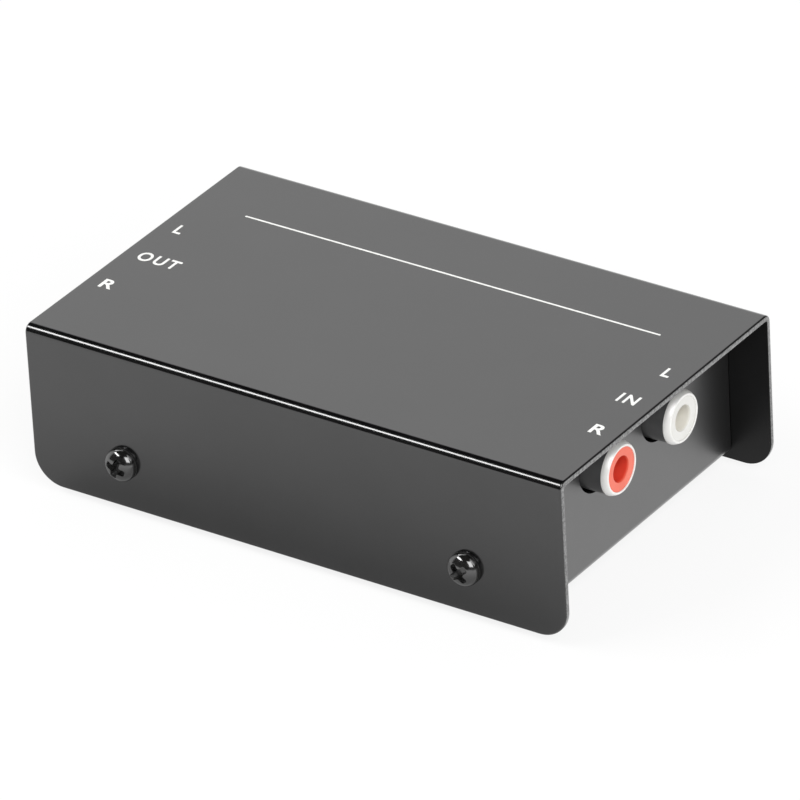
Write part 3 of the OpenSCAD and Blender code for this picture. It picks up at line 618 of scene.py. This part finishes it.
nickel_tones = rgb(0.84, 0.83, 0.80), rgb(0.76, 0.75, 0.71)
cover_paint = paint(
    "cover_paint", rgb(0.0012, 0.0012, 0.0013), rgb(0.0035, 0.0035, 0.0037),
    roughness=0.17, ior=1.33, coat=0.95, coat_ior=1.665, sheared=0.75,
)
chassis_paint = paint(
    "chassis_paint", rgb(0.004, 0.004, 0.0042), rgb(0.007, 0.007, 0.0073),
    roughness=0.40, ior=1.78, coat=1.0, coat_ior=1.5, sheared=0.0,
)
screw_oxide = black_oxide()
foot_rubber = rubber()
jack_nickel = plated(
    "jack_nickel", rgb(0.90, 0.895, 0.88), rgb(0.84, 0.835, 0.81), 0.42, jack_y, jack_z, metallic=0.35,
)
terminal_nickel = plated("terminal_nickel", *nickel_tones, 0.3, -terminal_y, terminal_z)
inlet_nickel = plated("inlet_nickel", *nickel_tones, 0.18, middle_of("inlet_pin").y, terminal_z)
print_ink = ink()
# Its inside colour is painted light: lighter and warmer in the bore.
white_plastic = moulded(
    "white_plastic", rgb(0.745, 0.74, 0.715), rgb(0.715, 0.71, 0.68), 0.25, inside=rgb(0.82, 0.79, 0.70),
)
# Its inside colour is painted shade: darker red in the bore.
red_plastic = moulded(
    "red_plastic", rgb(0.83, 0.165, 0.103), rgb(0.79, 0.14, 0.085), 0.25, inside=rgb(0.66, 0.012, 0.003),
)
black_plastic = moulded(
    "black_plastic", rgb(0.012, 0.012, 0.013), rgb(0.02, 0.02, 0.021), 0.38, grain=0.15, depth=0.01,
)
neck_plastic = moulded("neck_plastic", rgb(0.066, 0.066, 0.067), rgb(0.085, 0.085, 0.086), 0.34)

SLOT_FINISH = {
    "black_paint": cover_paint,
    "chassis_paint": chassis_paint,
    "black_steel": screw_oxide,
    "foot_rubber": foot_rubber,
    "board_laminate": board_lacquer(),
    "zinc_steel": plated("zinc_steel", rgb(0.56, 0.57, 0.58), rgb(0.46, 0.47, 0.49), 0.3),
    "black_moulding": black_plastic,
    "white_moulding": white_plastic,
    "red_moulding": red_plastic,
    "nickel": terminal_nickel,
    "spring_bronze": plated("spring_bronze", rgb(0.72, 0.5, 0.25), rgb(0.6, 0.4, 0.2), 0.25, jack_y, jack_z),
    "tinned_brass": plated("tinned_brass", rgb(0.62, 0.62, 0.6), rgb(0.5, 0.5, 0.48), 0.32),
    "green_insulation": moulded("wire_green", rgb(0.02, 0.22, 0.04), rgb(0.03, 0.27, 0.06), 0.3),
    "capacitor_sleeve": moulded(
        "capacitor_sleeve", rgb(0.012, 0.014, 0.04), rgb(0.02, 0.022, 0.055), 0.2,
    ),
    "film_box": moulded("film_box", rgb(0.5, 0.03, 0.02), rgb(0.42, 0.025, 0.018), 0.33),
    "resistor_coat": banded_coat(),
}


def dress_nodes():
    """Gives every solid of the frame the finish of its slot. The inlet's pin has its own."""
    for part in frame["record"]["subparts"]:
        materials = frame["nodes"][part["node"]].data.materials
        materials.clear()
        materials.append(inlet_nickel if part["node"] == "inlet_pin" else SLOT_FINISH[part["material_slot"]])


# ------------ case


SHEET = 0.9             # thickness of the cover's sheet
COVER_BEND = 1.36       # outside radius of its two bends
COVER_CORNER = 5.0      # radius of the lower corners of its sides
PRESS_EDGE = 0.34       # rounding that the press leaves on the outside of a cut edge
PRESS_STEPS = 4
BURR_EDGE = 0.08        # rounding on the inside of it
BURR_STEPS = 3
BEND_STEPS = 10
CORNER_STEPS = 14
FOLDED_EASE = 0.12      # rounding of the edges of the chassis and of the inlet


def cut_edge():
    """The rounded cut edge of the sheet, outside to inside, as (inset, depth) points."""
    section = []
    for step in range(PRESS_STEPS + 1):
        turn = math.radians(90 * step / PRESS_STEPS)
        section.append((PRESS_EDGE * (1 - math.sin(turn)), PRESS_EDGE * (1 - math.cos(turn))))
    for step in range(BURR_STEPS + 1):
        turn = math.radians(90 * step / BURR_STEPS)
        section.append((BURR_EDGE * (1 - math.cos(turn)), SHEET - BURR_EDGE * (1 - math.sin(turn))))
    return section


def top_cover():
    """A blank with rounded corners, folded down along two lines."""
    half_length, half_width, top = cover_high
    crown = half_width - COVER_BEND                 # from the middle to where a bend starts
    strip = COVER_BEND * math.pi / 2                # sheet that goes into a bend
    flap = top - COVER_BEND - cover_low.z           # straight part of a side
    blank_edge = crown + strip + flap

    def folded(x, across, depth):
        """Where a point of the blank lands, at a depth below its outer face."""
        run = abs(across) - crown
        if run <= 0:
            return (x, across, top - depth)
        turn = min(run / strip, 1) * math.pi / 2
        y = crown + (COVER_BEND - depth) * math.sin(turn)
        z = top - COVER_BEND + (COVER_BEND - depth) * math.cos(turn) - max(run - strip, 0)
        return (x, math.copysign(y, across), z)

    bend_rows = [crown + strip * step / BEND_STEPS for step in range(BEND_STEPS + 1)]
    rows = [-row for row in reversed(bend_rows)] + bend_rows

    def edge(inset):
        """The blank's edge drawn in by inset, anticlockwise, as (x, across) points."""
        x, across, radius = half_length - inset, blank_edge - inset, COVER_CORNER - inset
        corners = []
        for start, side, end in ((-90, 1, -1), (0, 1, 1), (90, -1, 1), (180, -1, -1)):
            middle = (side * (x - radius), end * (across - radius))
            corners.append(arc(middle, radius, start, start + 90, CORNER_STEPS))
        right = [(x, row) for row in rows]
        left = [(-x, row) for row in reversed(rows)]
        return corners[0] + right + corners[1] + corners[2] + left + corners[3]

    mesh = bmesh.new()
    rings = []
    for inset, depth in cut_edge():
        rings.append([mesh.verts.new(folded(x, across, depth)) for x, across in edge(inset)])
    for ring, following in zip(rings, rings[1:]):
        join_rings(mesh, ring, following)
    first_right = CORNER_STEPS + 1
    last_right = first_right + len(rows) - 1
    first_left = last_right + 2 * (CORNER_STEPS + 1) + 1
    last_left = first_left + len(rows) - 1
    for ring in (rings[0], rings[-1]):
        mesh.faces.new(ring[last_left:] + ring[:first_right + 1])
        mesh.faces.new(ring[last_right:first_left + 1])
        for step in range(len(rows) - 1):
            right = ring[first_right + step:first_right + step + 2]
            left = ring[last_left - step - 1:last_left - step + 1]
            mesh.faces.new(right + left)
    piece("top_cover_shell", mesh, cover_paint, nodes=["top_cover"])


def chassis():
    """The tray under the cover, with its edges eased."""
    piece("chassis_tray", cad_solid("chassis"), chassis_paint, nodes=["chassis"],
          ease=FOLDED_EASE)


HEAD_R = 2.7            # pan head of a cover screw
HEAD_H = 2.2
HEAD_SIDE = 0.55        # height of its straight side below the dome
HEAD_EASE = 0.05
DOME_STEPS = 16
SHANK_R = 1.5
SHANK_L = 5.0
SHANK_BEVEL = 0.3
CROSS_TIP = 1.75        # cross recess at the face, from its middle to the tip of an arm
CROSS_ARM = 0.55        # half of an arm's width
CROSS_TIP_R = 0.6       # rounding of its tips, as a share of that
CROSS_INNER_R = 0.5     # and of its inner corners
CROSS_DEPTH = 1.5
CROSS_FLOOR = 0.80      # share of its size that is left at its floor
SCREW_SPIN = {(1, -1): 41, (-1, -1): 70, (1, 1): 64, (-1, 1): 25}    # by end and side


def cross_outline(share):
    """The cross recess at a share of its size, with rounded tips and inner corners."""
    tip, arm = CROSS_TIP * share, CROSS_ARM * share
    inner, outer = CROSS_INNER_R * arm, CROSS_TIP_R * arm
    corners = []
    for quarter in range(4):
        turn = Matrix.Rotation(math.radians(90 * quarter), 2)
        for a, b, radius in ((arm, arm, inner), (tip, arm, outer), (tip, -arm, outer)):
            spot = turn @ Vector((a, -b))
            corners.append((spot.x, spot.y, radius))
    return eased(corners, 4)


def cover_screws():
    """Four pan-head screws with cross recesses, each turned as it stopped."""
    low, high = box_of("cover_screws")
    along = {1: high.x - HEAD_R, -1: low.x + HEAD_R}
    up = (low.z + high.z) / 2
    outline = [
        (0, -SHANK_L), (SHANK_R - SHANK_BEVEL, -SHANK_L), (SHANK_R, SHANK_BEVEL - SHANK_L), (SHANK_R, 0),
        (HEAD_R, 0, 0.1),
    ]
    for step in range(DOME_STEPS):
        turn = math.pi / 2 * step / DOME_STEPS
        outline.append((HEAD_R * math.cos(turn), HEAD_SIDE + (HEAD_H - HEAD_SIDE) * math.sin(turn)))
    outline.append((0, HEAD_H))
    for (end, side), spin in SCREW_SPIN.items():
        head = turned(eased(outline), steps=64)
        recess = lofted([(cross_outline(CROSS_FLOOR), HEAD_H - CROSS_DEPTH), (cross_outline(1), HEAD_H)])
        outward = Matrix.Rotation(math.radians(-90 * side), 4, "X")
        place = Matrix.Translation((along[end], side * cover_high.y, up)) @ outward
        place = place @ Matrix.Rotation(math.radians(spin), 4, "Z")
        piece(corner_name("cover_screw", end, side), carved(head, recess), screw_oxide,
              nodes=["cover_screws"], place=place, ease=HEAD_EASE)


FOOT_R = 4.0
FOOT_DRAFT = 0.5
FOOT_DISH = 0.25        # depth of the dish in its sole
FOOT_RIM = 0.9          # width of the rim round the dish


def rubber_feet():
    """Four stick-on feet with drafted sides and a shallow dish underneath."""
    low, high = box_of("rubber_feet")
    height = high.z - low.z
    sole = FOOT_R - FOOT_DRAFT
    outline = eased([
        (0, FOOT_DISH), (sole - FOOT_RIM - 0.2, FOOT_DISH, 0.15), (sole - FOOT_RIM, 0, 0.1),
        (sole, 0, 0.35), (FOOT_R, height, 0.08), (0, height),
    ])
    for end in (1, -1):
        for side in (1, -1):
            place = Matrix.Translation((end * (high.x - FOOT_R), side * (high.y - FOOT_R), low.z))
            piece(corner_name("foot", end, side), turned(outline, steps=64), foot_rubber,
                  nodes=["rubber_feet"], place=place)


# ------------ phono jacks


SLEEVE_R = 3.95         # outside of the sleeve in its neck and in the jack block
SLEEVE_IN_R = 3.65
SLEEVE_L = 8.0          # in front of the jack block
SLEEVE_SEAT = 3.0       # in the block
LIP_L = 1.05            # pale lip in front of the neck
LIP_R = 4.28            # at its back
LIP_TIP_R = 3.84        # at the tip
LIP_IN_R = 3.52         # the lip holds the insert
LIP_BULGE = 0.07        # how far it curves out between its back and its tip
LIP_STEPS = 8
NECK_R = 4.15           # moulded neck at the lip
NECK_FOOT_R = 4.30      # and where it comes out of the jack block
TAB_W = 2.0             # solder tab of a sleeve
TAB_T = 0.5
TAB_EASE = 0.06
TAB_DROP = 0.1          # from the inside of the sleeve down to the tab
INSERT_R = 3.6
INSERT_BACK = 0.15      # from the rim back to the insert's face
SOCKET_R = 1.8
SOCKET_FRONT = 0.8
FUNNEL_R = 2.1
FUNNEL_DEPTH = 0.35


def jack_place(end, side):
    """The middle of a jack where it comes out of the block, with +Z out of the case."""
    return facing(end, end * (jack_tip_x - SLEEVE_L), side * jack_y, jack_z)


def jack_sleeve(node, end, side):
    """A sleeve with a rolled lip, and its solder tab down to the board."""
    lip = []
    for step in range(LIP_STEPS + 1):
        share = step / LIP_STEPS
        bulge = LIP_BULGE * 4 * share * (1 - share)
        lip.append((LIP_R + (LIP_TIP_R - LIP_R) * share + bulge, SLEEVE_L - LIP_L * (1 - share)))
    outline = eased([
        (SLEEVE_IN_R, -SLEEVE_SEAT), (SLEEVE_R, -SLEEVE_SEAT), (SLEEVE_R, SLEEVE_L - LIP_L),
        (*lip[0], 0.05), *lip[1:-1], (*lip[-1], 0.1), (LIP_IN_R, SLEEVE_L, 0.05),
        (LIP_IN_R, SLEEVE_L - INSERT_BACK), (SLEEVE_IN_R, SLEEVE_L - INSERT_BACK),
    ])
    piece(f"{node}_shell", turned(outline), jack_nickel, nodes=[node],
          place=jack_place(end, side))
    foot = box_of("circuit_board")[1].z
    top = jack_z - SLEEVE_IN_R - TAB_DROP
    strip = [(-TAB_W / 2, foot), (TAB_W / 2, foot), (TAB_W / 2, top), (-TAB_W / 2, top)]
    back_x = end * (jack_tip_x - SLEEVE_L - SLEEVE_SEAT)
    upright = Matrix(((0, 0, end, back_x), (1, 0, 0, side * jack_y), (0, 1, 0, 0), (0, 0, 0, 1)))
    piece(f"{node}_tab", lofted([(strip, 0), (strip, TAB_T)]), jack_nickel, nodes=[node],
          place=upright, ease=TAB_EASE)


def jack_neck(name, end, side):
    """The moulded neck round the sleeve, slightly drafted, from the jack block to the lip."""
    lip = SLEEVE_L - LIP_L
    outline = [(SLEEVE_R, 0), (NECK_FOOT_R, 0), (NECK_R, lip), (SLEEVE_R, lip)]
    piece(name, turned(outline), neck_plastic, place=jack_place(end, side))


def jack_insert(node, end, side, plastic):
    """The moulded insert: a funnel at its mouth, and a seat for the contact behind."""
    face = SLEEVE_L - INSERT_BACK
    outline = eased([
        (SOCKET_R, -SLEEVE_SEAT), (INSERT_R, -SLEEVE_SEAT), (INSERT_R, face, 0.12), (FUNNEL_R, face, 0.1),
        (BORE_R, face - FUNNEL_DEPTH, 0.25), (BORE_R, SOCKET_FRONT), (SOCKET_R, SOCKET_FRONT),
    ])
    piece(f"{node}_moulding", turned(outline), plastic, nodes=[node], place=jack_place(end, side))


def phono_jacks():
    """Two jacks at each end, with the white insert on the left and the red one on the right."""
    for word, end in (("input", 1), ("output", -1)):
        for hand, side, plastic, slot in (
            ("left", 1, white_plastic, "white_moulding"),
            ("right", -1, red_plastic, "red_moulding"),
        ):
            jack_sleeve(f"{word}_sleeve_{hand}", end, side)
            jack_neck(f"{word}_neck_{hand}", end, side)
            jack_insert(f"{word}_insert_{hand}", end, side, plastic)


# ------------ inlet and ground terminal


STUD_R = 2.0
STUD_HEAD_R = 3.5
STUD_HEAD_L = 2.4
STUD_HEAD_BEVEL = 0.2
STUD_POINT = 0.4        # bevel at the stud's tip
THREAD_PITCH = 0.7
THREAD_DEPTH = 0.35
THREAD_STEPS = 96
NUT_AF = 7.0            # across the flats
NUT_BLANK_R = 9.0       # round blank that the hexagon is cut from
NUT_CHAMFER = 0.7       # how far down the flats its chamfer reaches
NUT_CHAMFER_TILT = 30
NUT_CHAMFER_STEPS = 10
NUT_BORE_R = 2.03
NUT_LEAD = 0.25         # lead-in of its bore in front
NUT_BACK_LEAD = 0.2     # and at its back
NUT_EASE = 0.06
WASHER_BORE_R = 2.1
THUMB_R = 4.7
THUMB_RIDGES = 32
RIDGE_DEPTH = 0.3
RIDGE_ROUND = 1.4       # the higher, the narrower the grooves
THUMB_BEVEL = 0.7       # across, at both ends of its rim
THUMB_BEVEL_L = 0.6     # and along it
DISH_R = 3.2            # dish round its bore
DISH_DEPTH = 0.4


def thread(turn, height):
    """Reach of a right-hand thread, with flats at its crests and roots."""
    phase = (height / THREAD_PITCH - turn / (2 * math.pi)) % 1
    flank = abs(2 * phase - 1)
    return STUD_R - THREAD_DEPTH * min(max(1.25 * flank - 0.12, 0), 1)


def hexagon(turn, height):
    """Reach of the nut's hexagon, the same at every height."""
    sixth = math.pi / 3
    return NUT_AF / 2 / math.cos((turn + sixth / 2) % sixth - sixth / 2)


def knurl(turn, height):
    """Reach of a straight knurl with rounded ridges, the same at every height."""
    wave = abs(math.sin(turn * THUMB_RIDGES / 2))
    return THUMB_R - RIDGE_DEPTH * (1 - wave) ** RIDGE_ROUND


def power_inlet():
    """The moulded housing of the inlet, with its edges eased."""
    piece("inlet_body", cad_solid("inlet_housing"), black_plastic,
          nodes=["inlet_housing"], ease=FOLDED_EASE)


def from_panel(node):
    """Where a node of the terminal starts, with +Z out of the output end, and its length."""
    low, high = box_of(node)
    return facing(-1, high.x, terminal_y, terminal_z), high.x - low.x


def ground_stud():
    """The stud, with its head inside the case and its thread outside."""
    place, length = from_panel("ground_stud")
    cut = length - STUD_HEAD_L - STUD_POINT
    outline = [(0, 0), (STUD_HEAD_R - STUD_HEAD_BEVEL, 0), (STUD_HEAD_R, STUD_HEAD_BEVEL)]
    outline.append((STUD_HEAD_R, STUD_HEAD_L))
    outline += [(STUD_R, STUD_HEAD_L + cut * step / THREAD_STEPS) for step in range(THREAD_STEPS + 1)]
    outline += [(STUD_R - STUD_POINT, length), (0, length)]

    def shank(turn, height):
        """The thread, but not on the head."""
        return thread(turn, height) if height > STUD_HEAD_L else STUD_HEAD_R

    piece("ground_stud_turned", turned(outline, 64, limit=shank), terminal_nickel,
          nodes=["ground_stud"], place=place, sharp=60)


def ground_nut():
    """The hexagonal nut that holds the stud in the panel, chamfered at its outer face."""
    place, height = from_panel("ground_nut")
    outline = [(NUT_BORE_R + NUT_BACK_LEAD, 0), (NUT_BLANK_R, 0)]
    for step in range(NUT_CHAMFER_STEPS + 1):
        at = height - NUT_CHAMFER * (1 - step / NUT_CHAMFER_STEPS)
        outline.append((NUT_AF / 2 + (height - at) / math.tan(math.radians(NUT_CHAMFER_TILT)), at))
    outline += [(NUT_BORE_R + NUT_LEAD, height), (NUT_BORE_R, height - NUT_LEAD), (NUT_BORE_R, NUT_BACK_LEAD)]
    piece("ground_nut_hexagon", turned(outline, limit=hexagon), terminal_nickel,
          nodes=["ground_nut"], place=place, ease=NUT_EASE)


def ground_washer():
    """A stamped washer, rounded where the punch went in."""
    place, thick = from_panel("ground_washer")
    low, high = box_of("ground_washer")
    radius = (high.z - low.z) / 2
    outline = eased([
        (WASHER_BORE_R, 0, 0.1), (radius, 0, 0.06), (radius, thick, 0.25), (WASHER_BORE_R, thick, 0.15),
    ])
    piece("ground_washer_stamped", turned(outline), terminal_nickel, "washer",
          ["ground_washer"], place)


def thumb_nut():
    """The knurled nut that clamps a ground wire, dished round its bore."""
    place, height = from_panel("ground_thumb_nut")
    dish = height - DISH_DEPTH
    outline = eased([
        (NUT_BORE_R + 0.3, 0), (THUMB_R - THUMB_BEVEL, 0), (THUMB_R, THUMB_BEVEL_L),
        (THUMB_R, height - THUMB_BEVEL_L), (THUMB_R - THUMB_BEVEL, height, 0.15), (DISH_R, height, 0.1),
        (DISH_R - 0.3, dish, 0.1), (NUT_BORE_R + 0.2, dish), (NUT_BORE_R, dish - 0.2), (NUT_BORE_R, 0.3),
    ], 3)
    piece("thumb_nut_knurled", turned(outline, THUMB_RIDGES * 8, limit=knurl), terminal_nickel, "thumb_nut",
          ["ground_thumb_nut"], place, sharp=50)


# ------------ print on the cover


INK_LIFT = 0.02         # thickness of the ink
EM = 3.5                # size of the letters
NARROW = 0.88           # their width against their height
LETTER_SPACE = 1.25     # distance from letter to letter against the usual one
STROKE_MORE = 0.022     # boldness, as a share of the size
LETTER_WELD = 1e-5      # corners of a letter nearer than this share of the size are one
# Each with its words, its middle along X and Y, and how much wider than usual it is.
LEGENDS = [
    ("print_out", "OUT", -41.5, -2.75, 1.0),
    ("print_in", "IN", 43.35, -3.15, 1.0),
    ("print_left_out", "L", -44.2, 6.7, 1.0),
    ("print_right_out", "R", -44.05, -12.4, 1.28),
    ("print_left_in", "L", 44.3, 6.15, 1.0),
    ("print_right_in", "R", 44.3, -12.75, 1.28),
]
LINE_FROM, LINE_TO = -37.9, 37.3
LINE_Y = 15.08
LINE_W = 0.35
LINE_END_FLAT = 0.02    # what stays straight between the rounded corners of its ends


def legend(name, words, x, y, widening):
    """Capitals in ink, with their middle at that place."""
    letters = bpy.data.curves.new(name, "FONT")
    letters.body = words
    letters.offset = STROKE_MORE
    letters.space_character = LETTER_SPACE
    letters.extrude = 0.5
    letters.resolution_u = 6
    holder = placed(name, letters)
    drawn = holder.evaluated_get(bpy.context.evaluated_depsgraph_get())
    outline = bpy.data.meshes.new_from_object(drawn)
    bpy.data.objects.remove(holder)
    mesh = bmesh.new()
    mesh.from_mesh(outline)
    bpy.data.meshes.remove(outline)
    ways = [[vert.co[axis] for vert in mesh.verts] for axis in range(3)]
    middle = Vector([(min(way) + max(way)) / 2 for way in ways])
    bmesh.ops.remove_doubles(mesh, verts=mesh.verts, dist=LETTER_WELD)
    fit = Matrix.Diagonal((EM * NARROW * widening, EM, INK_LIFT, 1))
    place = Matrix.Translation((x, y, cover_high.z + INK_LIFT / 2)) @ fit @ Matrix.Translation(-middle)
    piece(name, mesh, print_ink, place=place)


def cover_print():
    """The legends beside the jacks and the long line between them."""
    for word in LEGENDS:
        legend(*word)
    low, high = LINE_Y - LINE_W / 2, LINE_Y + LINE_W / 2
    end = (LINE_W - LINE_END_FLAT) / 2
    bar = eased([(LINE_FROM, low, end), (LINE_TO, low, end), (LINE_TO, high, end), (LINE_FROM, high, end)])
    piece("print_line", lofted([(bar, cover_high.z), (bar, cover_high.z + INK_LIFT)]), print_ink)


# ------------ studio


FLOOR_HALF = 4000       # the floor reaches this far to each side
FLOOR_THICK = 20
FLOOR_GLOW = 0.86       # share of the floor that shows as plain white behind the object
FLOOR_SHADE_REACH = 60  # how near the object the floor has a painted shade in a gloss
FLOOR_SHADE_FROM = -35  # it does so in front of the object only: fully up to this Y
FLOOR_SHADE_TO = -18    # and no more from this one
AMBIENT = 0.55          # light from all round
# What a gloss shows instead of it. Heights are on the unit sphere, sides are along X and Y.
BACKDROP_SIDE = (-0.8, 0.6)
BACKDROP_TOP = 0.62     # the white backdrop ends here
BACKDROP_FADE = 0.1
SKIRTING_TOP = 0.16     # white strip along the floor, but for the doorway
DOORWAY_SIDE = (-0.54, -0.84)
DOORWAY_GLOW = 0.05
WALL_GLOW = 0.15
CEILING_GLOW = 0.005
LAMP_DISTANCE = 2000
CAMERA_AZIMUTH = 35.486256      # from the front towards the input end
CAMERA_ELEVATION = 30.116387
CAMERA_ROLL = -3.212922
CAMERA_DISTANCE = 1447.64
CAMERA_LENS = 433.3
CAMERA_SENSOR = 36
CAMERA_NEAR = 50        # nothing nearer than this is drawn
CAMERA_AIM = Vector((-0.395, 0.380, 14.045))


def seen_rays(bench):
    """1 for what the camera sees, straight or in a gloss or through glass."""
    path = bench.put("ShaderNodeLightPath").outputs
    mirrored = bench.sum("MAXIMUM", path["Is Glossy Ray"], path["Is Transmission Ray"])
    return bench.sum("MAXIMUM", path["Is Camera Ray"], mirrored)


def blend(bench, share, first, second):
    """A blend of two shaders."""
    node = bench.put("ShaderNodeMixShader", Fac=share)
    bench.feed(node.inputs[1], first)
    bench.feed(node.inputs[2], second)
    return node.outputs[0]


def floor():
    """A wide white floor. It shows as white behind the object and still takes its shadow. In a gloss, it has
    a painted shade near the object's front.
    """
    half = FLOOR_HALF
    square = [(-half, -half), (half, -half), (half, half), (-half, half)]
    mesh = lofted([(square, -FLOOR_THICK), (square, 0)])
    mesh.transform(Matrix.Scale(MM, 4))
    ground = settled("floor", mesh)
    white = Finish("floor_white")
    white.tree.nodes.remove(white.shader)
    mottle = white.noise(white.millimetres(), 0.01, 3.0)
    tone = white.mix(mottle, rgb(0.86, 0.86, 0.86), rgb(0.84, 0.84, 0.84))
    matt = white.put("ShaderNodeBsdfDiffuse", Color=tone).outputs[0]
    # Painted shade: in a gloss, the floor's glow is dimmed near the object's front by how open the floor is
    # there.
    open_sky = white.open_sky(FLOOR_SHADE_REACH * MM)
    shade = white.sum("SUBTRACT", white.sum("MULTIPLY", open_sky, open_sky), 1.0)
    in_front = white.ramp(white.along()[1], FLOOR_SHADE_FROM, FLOOR_SHADE_TO, 1.0, 0.0)
    gloss_ray = white.put("ShaderNodeLightPath").outputs["Is Glossy Ray"]
    strength = white.sum("MULTIPLY_ADD", white.sum("MULTIPLY", gloss_ray, in_front), shade, 1.0)
    glow = white.put("ShaderNodeEmission", Color=WHITE, Strength=strength).outputs[0]
    share = white.sum("MULTIPLY", seen_rays(white), FLOOR_GLOW)
    surface = white.tree.nodes["Material Output"].inputs["Surface"]
    white.feed(surface, blend(white, share, matt, glow))
    ground.data.materials.append(white.material)


def backdrop():
    """White to the camera; in a gloss, a white backdrop to a certain height in a dim studio."""
    world = bpy.data.worlds.new("studio")
    bpy.context.scene.world = world
    world.use_nodes = True
    bench = Bench(world.node_tree)
    ambient = world.node_tree.nodes["Background"]
    bench.feed(ambient.inputs["Color"], WHITE)
    bench.feed(ambient.inputs["Strength"], AMBIENT)
    towards = bench.put("ShaderNodeTexCoord").outputs["Generated"]
    part = bench.put("ShaderNodeSeparateXYZ", Vector=towards).outputs

    def to_side(side, low, high):
        """1 in that direction, over a smooth step from one share of it to another."""
        share = bench.sum("MULTIPLY_ADD", part[0], side[0], bench.sum("MULTIPLY", part[1], side[1]))
        return bench.ramp(share, low, high)

    below_top = bench.ramp(part[2], BACKDROP_TOP, BACKDROP_TOP + BACKDROP_FADE, 1.0, 0.0)
    screen = bench.sum("MULTIPLY", to_side(BACKDROP_SIDE, 0.35, 0.55), below_top)
    doorway = to_side(DOORWAY_SIDE, 0.35, 0.65)
    low_down = bench.ramp(part[2], 0.0, SKIRTING_TOP, 1.0, 0.0)
    skirting = bench.sum("MULTIPLY", low_down, bench.sum("SUBTRACT", 1.0, doorway))
    walls = bench.sum("MULTIPLY_ADD", doorway, DOORWAY_GLOW - WALL_GLOW, WALL_GLOW)
    level = bench.sum("MAXIMUM", screen, skirting)
    level = bench.sum("MAXIMUM", level, bench.sum("MULTIPLY", walls, below_top))
    level = bench.sum("MAXIMUM", level, CEILING_GLOW)
    gloss = bench.put("ShaderNodeBackground", Color=WHITE, Strength=level).outputs[0]
    plain = bench.put("ShaderNodeBackground", Color=WHITE, Strength=1.0).outputs[0]
    path = bench.put("ShaderNodeLightPath").outputs
    lit = blend(bench, path["Is Glossy Ray"], ambient.outputs[0], gloss)
    seen = blend(bench, path["Is Camera Ray"], lit, plain)
    bench.feed(world.node_tree.nodes["World Output"].inputs["Surface"], seen)


def softbox(name, towards, width, height, watts):
    """A lamp that hangs in that direction from the object and faces it."""
    lamp = bpy.data.lights.new(name, "AREA")
    lamp.shape = "RECTANGLE"
    lamp.size = width * MM
    lamp.size_y = height * MM
    lamp.energy = watts
    holder = placed(name, lamp)
    direction = Vector(towards).normalized()
    holder.location = CAMERA_AIM * MM + direction * LAMP_DISTANCE * MM
    holder.rotation_euler = direction.to_track_quat("Z", "Y").to_euler()
    holder.visible_camera = False


def camera():
    """A long lens from above the near corner, rolled a little."""
    azimuth, elevation = math.radians(CAMERA_AZIMUTH), math.radians(CAMERA_ELEVATION)
    away = math.cos(elevation)
    back = Vector((math.sin(azimuth) * away, -math.cos(azimuth) * away, math.sin(elevation)))
    level = Vector((0, 0, 1)).cross(back).normalized()
    upright = back.cross(level)
    roll = math.radians(CAMERA_ROLL)
    right = level * math.cos(roll) + upright * math.sin(roll)
    up = back.cross(right)
    data = bpy.data.cameras.new("camera")
    data.sensor_width = CAMERA_SENSOR
    data.lens = CAMERA_LENS
    data.clip_start = CAMERA_NEAR * MM
    holder = placed("camera", data)
    turn = Matrix((right, up, back)).transposed().to_4x4()
    holder.matrix_world = Matrix.Translation((CAMERA_AIM + back * CAMERA_DISTANCE) * MM) @ turn
    bpy.context.scene.camera = holder


# ------------ assembly


dress_nodes()
top_cover()
chassis()
cover_screws()
rubber_feet()
phono_jacks()
power_inlet()
ground_stud()
ground_nut()
ground_washer()
thumb_nut()
cover_print()
floor()
backdrop()
softbox("key_softbox", towards=(-0.51, -0.45, 0.73), width=1400, height=340, watts=20)
softbox("fill_softbox", towards=(0.66, -0.40, 0.64), width=1300, height=1300, watts=28)
camera()
bpy.context.scene.view_settings.view_transform = "Standard"
